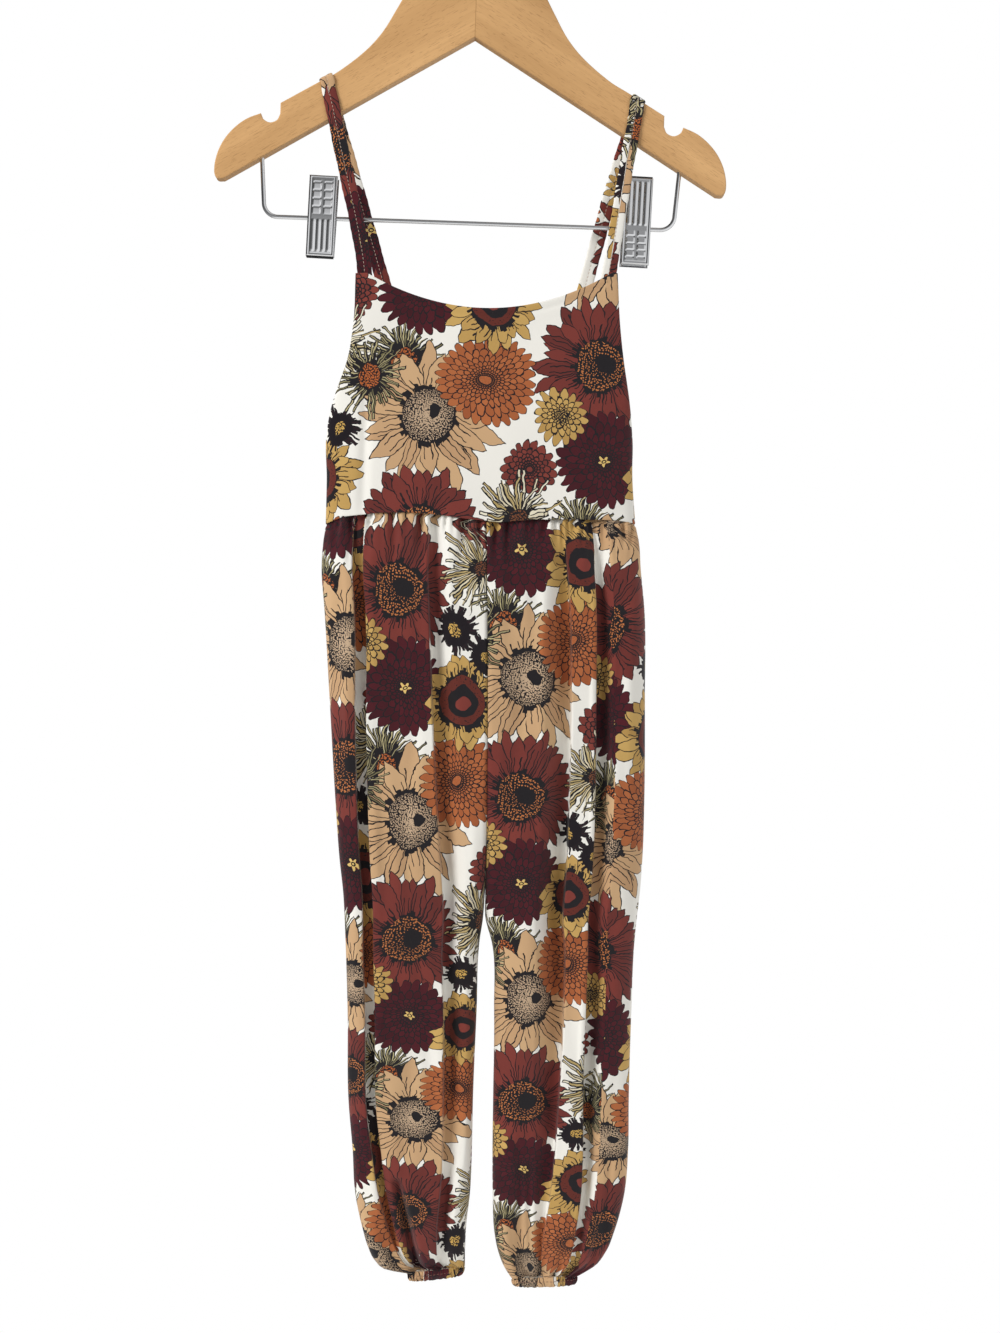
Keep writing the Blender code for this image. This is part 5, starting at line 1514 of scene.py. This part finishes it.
class ClothSizes(bpy.types.PropertyGroup):
    """Sizes of the cloth that a user would change."""

    thickness: bpy.props.FloatProperty(
        name="Jersey thickness", description="Thickness of the knit cloth", default=0.0009,
        min=0.0005, max=0.0015, unit="LENGTH", subtype="DISTANCE", precision=4)
    gather: bpy.props.FloatProperty(
        name="Gather strength", description="How deep the puckers at the waist and hems are",
        default=1.0, min=0.0, max=2.0)
    strap_width: bpy.props.FloatProperty(
        name="Strap width", description="Finished width of each shoulder strap", default=STRAP_WIDTH,
        unit="LENGTH", subtype="DISTANCE", precision=4)
    stitch_spacing: bpy.props.FloatProperty(
        name="Stitch spacing", description="Distance from one visible stitch to the next",
        default=0.0027, unit="LENGTH", subtype="DISTANCE", precision=4)
    thread_colour: bpy.props.FloatVectorProperty(
        name="Strap thread", description="Colour of the stitching along the straps", subtype="COLOR", size=4,
        default=colour_of(190, 170, 154), min=0, max=1)
    casing_thread: bpy.props.FloatVectorProperty(
        name="Casing thread", description="Colour of the stitching round the hem casings", subtype="COLOR",
        size=4, default=colour_of(128, 92, 82), min=0, max=1)


class HangerFinish(bpy.types.PropertyGroup):
    """Finishes of the hanger that a user would change."""

    wood_colour: bpy.props.FloatVectorProperty(
        name="Beech", description="Colour of the varnished wood", subtype="COLOR", size=4,
        default=colour_of(208, 165, 114), min=0, max=1)
    steel_roughness: bpy.props.FloatProperty(
        name="Chrome roughness", description="Roughness of the chromed wire and clips",
        default=0.16, min=0.02, max=0.6)


class StudioSettings(bpy.types.PropertyGroup):
    """Camera and light of the stage."""

    camera_height: bpy.props.FloatProperty(
        name="Camera height", description="Height of the camera against the hook's bearing point",
        default=-0.560, unit="LENGTH", subtype="DISTANCE")
    camera_distance: bpy.props.FloatProperty(
        name="Camera distance", description="Distance of the camera in front of the hanger",
        default=1.65, unit="LENGTH", subtype="DISTANCE")
    key_power: bpy.props.FloatProperty(
        name="Key light", description="Power of the large soft light at the upper left", default=60.0,
        min=0, unit="POWER")
    fill_power: bpy.props.FloatProperty(
        name="Fill light", description="Power of the soft lights at the right and behind", default=9.0,
        min=0, unit="POWER")
    floor_colour: bpy.props.FloatVectorProperty(
        name="Floor", description="Colour of the studio floor", subtype="COLOR", size=4,
        default=colour_of(236, 235, 232), min=0, max=1)


class ROMPER_OT_bodice(bpy.types.Operator):
    """Make the front and back of the bodice"""
    bl_idname = "romper.bodice"
    bl_label = "Bodice"

    def execute(self, context):
        sizes = context.scene.romper_cloth
        materials = cloth_materials()
        for seed, (name, sections, neck, face) in enumerate((
                ("bodice_front", BODICE_FRONT_SECTIONS, FRONT_NECK, -1),
                ("bodice_back", BODICE_BACK_SECTIONS, BACK_NECK, 1))):
            rng = np.random.default_rng(SEEDS["bodice"] + seed)
            points, uv = bodice_panel(name, sections, neck, face, sizes, rng)
            mesh = shell(name, points, sizes.thickness, facing(points, face), uv, keep=clear_of(face))
            cloth_piece(name, mesh, materials)
        return {"FINISHED"}


class ROMPER_OT_legs(bpy.types.Operator):
    """Make the four gathered leg panels"""
    bl_idname = "romper.legs"
    bl_label = "Legs"

    def execute(self, context):
        sizes = context.scene.romper_cloth
        materials = cloth_materials()
        panels = [(face, side) for face in (-1, 1) for side in ("left", "right")]
        for seed, (face, side) in enumerate(panels):
            part = "front" if face < 0 else "back"
            name = f"leg_{part}_{side}"
            sections = LEG_SECTIONS[side]
            rng = np.random.default_rng(SEEDS["legs"] + seed)
            points, uv, hidden = leg_panel(name, sections, CUFFS["cuff_" + side]["slope"], face,
                                           *LEG_GRIDS[part], sizes, rng)
            sign = math.copysign(1, sections[0][1])
            mesh = shell(name, points, sizes.thickness, facing(points, face), uv, cuts=hidden[:-1, :-1],
                         keep=clear_of(face, sign, points[:, 0, 0]))
            cloth_piece(name, mesh, materials)
        return {"FINISHED"}


class ROMPER_OT_cuffs(bpy.types.Operator):
    """Make the elastic hem casings with their stitches"""
    bl_idname = "romper.cuffs"
    bl_label = "Hem casings"

    def execute(self, context):
        sizes = context.scene.romper_cloth
        thread = material_once("casing_thread", thread_material, "casing_thread", sizes.casing_thread)
        for seed, (name, cuff) in enumerate(CUFFS.items()):
            rng = np.random.default_rng(SEEDS["cuffs"] + seed)
            points, uv, outward = cuff_skin(cuff, sizes.thickness, rng)
            mesh = shell(name, points, sizes.thickness, outward, uv, closed=True)
            away = outward[CUFF_STITCH_ROW]
            away = away / np.linalg.norm(away, axis=1)[:, None]
            row = points[CUFF_STITCH_ROW] + away * CUFF_STITCH_RISE
            stitches = stitch_piece(name + "_stitches", [row[::2]], thread, sizes.stitch_spacing, closed=True)
            cloth_piece(name, mesh,
                        cloth_materials(), (stitches,))
        return {"FINISHED"}


class ROMPER_OT_straps(bpy.types.Operator):
    """Make the shoulder straps with the stitching down their middle"""
    bl_idname = "romper.straps"
    bl_label = "Straps"

    def execute(self, context):
        sizes = context.scene.romper_cloth
        thread = material_once("strap_thread", thread_material, "strap_thread", sizes.thread_colour)
        for seed, (name, strap) in enumerate(STRAPS.items()):
            rng = np.random.default_rng(SEEDS["straps"] + seed)
            mesh, route, thick = strap_mesh(name, strap, sizes.strap_width, rng)
            rows = [route[2:-2, :3] + thick[2:-2] * side * STRAP_THICK * STRAP_STITCH_SHARE
                    for side in (-1, 1)]
            stitches = stitch_piece(name + "_stitches", rows, thread, sizes.stitch_spacing)
            cloth_piece(name, mesh, cloth_materials()[:1], (stitches,))
        return {"FINISHED"}


class ROMPER_OT_hanger(bpy.types.Operator):
    """Make the wooden arms, the hook and the clip bar"""
    bl_idname = "romper.hanger"
    bl_label = "Hanger"

    def execute(self, context):
        finish = context.scene.romper_hanger
        steel = material_once("bright_chrome", steel_material, finish.steel_roughness)
        beech = wood_material(tuple(finish.wood_colour))
        wood = curve_mesh("wooden_arms", wood_outline(), hanger_matrix(), cyclic=True, dimensions="2D",
                          fill_mode="BOTH", extrude=WOOD_THICK / 2 - WOOD_EDGE, bevel_depth=WOOD_EDGE,
                          bevel_resolution=3, offset=-WOOD_EDGE)
        hard_piece("wooden_arms", wood, "beech_wood", beech, "hanger_wood")
        hard_piece("hook_wire", wire_mesh("hook_wire", hook_points(), HOOK_WIRE), "chromed_steel", steel,
                   "hanger_hook")
        hard_piece("clip_bar", wire_mesh("clip_bar", bar_points(), BAR_WIRE), "chromed_steel", steel,
                   "hanger_bar")
        return {"FINISHED"}


class ROMPER_OT_clips(bpy.types.Operator):
    """Make the two pressed clips on the bar, and finish their rubber pads"""
    bl_idname = "romper.clips"
    bl_label = "Clips"

    def execute(self, context):
        finish = context.scene.romper_hanger
        steel = material_once("bright_chrome", steel_material, finish.steel_roughness)
        rubber = rubber_material()
        for clip in CLIPS:
            meshes = [clip_plate(clip["name"], clip, face) for face in (-1, 1)]
            meshes += [cheek_mesh(clip["name"], clip, side) for side in (-1, 1)]
            meshes.append(spring_mesh(clip["name"]))
            mesh = joined(clip["name"], meshes, clip_matrix(clip))
            hard_piece(clip["name"] + "_plates", mesh, "chromed_steel", steel, clip["name"])
            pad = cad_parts[clip["name"] + "_pad"]
            for slot in pad.material_slots:
                slot.material = rubber
        return {"FINISHED"}


def area_light(name, place, size, power):
    """A square soft light at this place that faces the middle of the romper."""
    light = bpy.data.lights.new(name, "AREA")
    light.shape = "SQUARE"
    light.size = size
    light.energy = power
    item = bpy.data.objects.new(name, light)
    item.location = place
    item.rotation_euler = (Vector(LIT_POINT) - Vector(place)).to_track_quat("-Z", "Y").to_euler()
    item.visible_glossy = False
    bpy.context.scene.collection.objects.link(item)


def studio_world():
    """White behind the object, soft light on it, and a pale floor below it in reflections.

    soft is the light on the cloth. mirrored is what chrome and varnish show: bright below, a glow at
    the right, and less light at the left and behind.
    """
    world = bpy.data.worlds.new("studio")
    world.use_nodes = True
    tree = world.node_tree
    direction = add_node(tree, "ShaderNodeTexCoord", {}).outputs["Generated"]
    side, front, height = split(tree, "ShaderNodeSeparateXYZ", direction)
    soft = highest(height, -0.5).times_plus(0.30, 0.20) + abs(side) * 0.62 + highest(front, 0.0) * 0.25
    rise = lowest(highest(height.times_plus(-0.9, 0.34), 0.0), 1.0)
    glow = lowest(highest(side.times_plus(2.2, 0.05), 0.0), 1.0)
    shade = lowest(highest(side.times_plus(1.7, 1.0), 0.3), 1.0)
    behind = highest(front, 0.0).times_plus(-0.65, 1.0)
    mirrored = lowest(((rise * rise).times_plus(1.3, 0.25) + glow * 0.6) * shade, 1.05) * behind
    rays = add_node(tree, "ShaderNodeLightPath", {}).outputs
    glossy, seen = (Signal(tree, rays[kind]) for kind in ("Is Glossy Ray", "Is Camera Ray"))
    strength = glossy * (mirrored - soft) + soft
    shown = seen * (1.0 - strength) + strength
    background = tree.nodes["Background"]
    background.inputs[0].default_value = (1, 1, 1, 1)
    tree.links.new(shown.socket, background.inputs[1])
    bpy.context.scene.world = world


class ROMPER_OT_stage(bpy.types.Operator):
    """Make the floor, the soft studio light and the camera"""
    bl_idname = "romper.stage"
    bl_label = "Stage"

    def execute(self, context):
        studio = context.scene.romper_studio
        shape = bmesh.new()
        bmesh.ops.create_circle(shape, cap_ends=True, segments=96, radius=FLOOR_RADIUS,
                                matrix=Matrix.Translation((0, 0, FLOOR_LEVEL)))
        mesh = bpy.data.meshes.new("studio_floor")
        shape.to_mesh(mesh)
        shape.free()
        plain, _ = plain_material("studio_floor", tuple(studio.floor_colour), 0.9, specular=0.2)
        new_piece("studio_floor", mesh, plain)
        studio_world()
        area_light("key", *LIGHTS["key"], studio.key_power)
        area_light("fill", *LIGHTS["fill"], studio.fill_power)
        area_light("back", *LIGHTS["back"], studio.fill_power)
        camera = bpy.data.cameras.new("camera")
        camera.sensor_width = SENSOR
        camera.lens = LENS
        item = bpy.data.objects.new("camera", camera)
        item.location = (CAMERA_ACROSS, -studio.camera_distance, studio.camera_height)
        item.rotation_euler = (math.radians(90), 0, 0)
        context.scene.collection.objects.link(item)
        context.scene.camera = item
        context.scene.view_settings.view_transform = "Standard"
        return {"FINISHED"}


class ROMPER_PT_panel(bpy.types.Panel):
    """The sidebar panel with the steps in order"""
    bl_label = "Romper on a hanger"
    bl_idname = "ROMPER_PT_panel"
    bl_space_type = "VIEW_3D"
    bl_region_type = "UI"
    bl_category = "Romper"

    def draw(self, context):
        for group in (context.scene.romper_cloth, context.scene.romper_hanger, context.scene.romper_studio):
            box = self.layout.box()
            for key in group.__annotations__:
                box.prop(group, key)
        for step in STEPS:
            self.layout.operator(step.bl_idname)


GROUPS = {"romper_cloth": ClothSizes, "romper_hanger": HangerFinish, "romper_studio": StudioSettings}
STEPS = (ROMPER_OT_hanger, ROMPER_OT_clips, ROMPER_OT_straps, ROMPER_OT_bodice, ROMPER_OT_legs,
         ROMPER_OT_cuffs, ROMPER_OT_stage)


def register():
    for made in (*GROUPS.values(), *STEPS, ROMPER_PT_panel):
        bpy.utils.register_class(made)
    for key, group in GROUPS.items():
        setattr(bpy.types.Scene, key, bpy.props.PointerProperty(type=group))


def unregister():
    for key in GROUPS:
        delattr(bpy.types.Scene, key)
    for made in reversed((*GROUPS.values(), *STEPS, ROMPER_PT_panel)):
        bpy.utils.unregister_class(made)


def main():
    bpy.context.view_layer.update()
    register()
    bpy.ops.romper.hanger()
    bpy.ops.romper.clips()
    bpy.ops.romper.straps()
    bpy.ops.romper.bodice()
    bpy.ops.romper.legs()
    bpy.ops.romper.cuffs()
    bpy.ops.romper.stage()


if __name__ == "__main__":
    main()
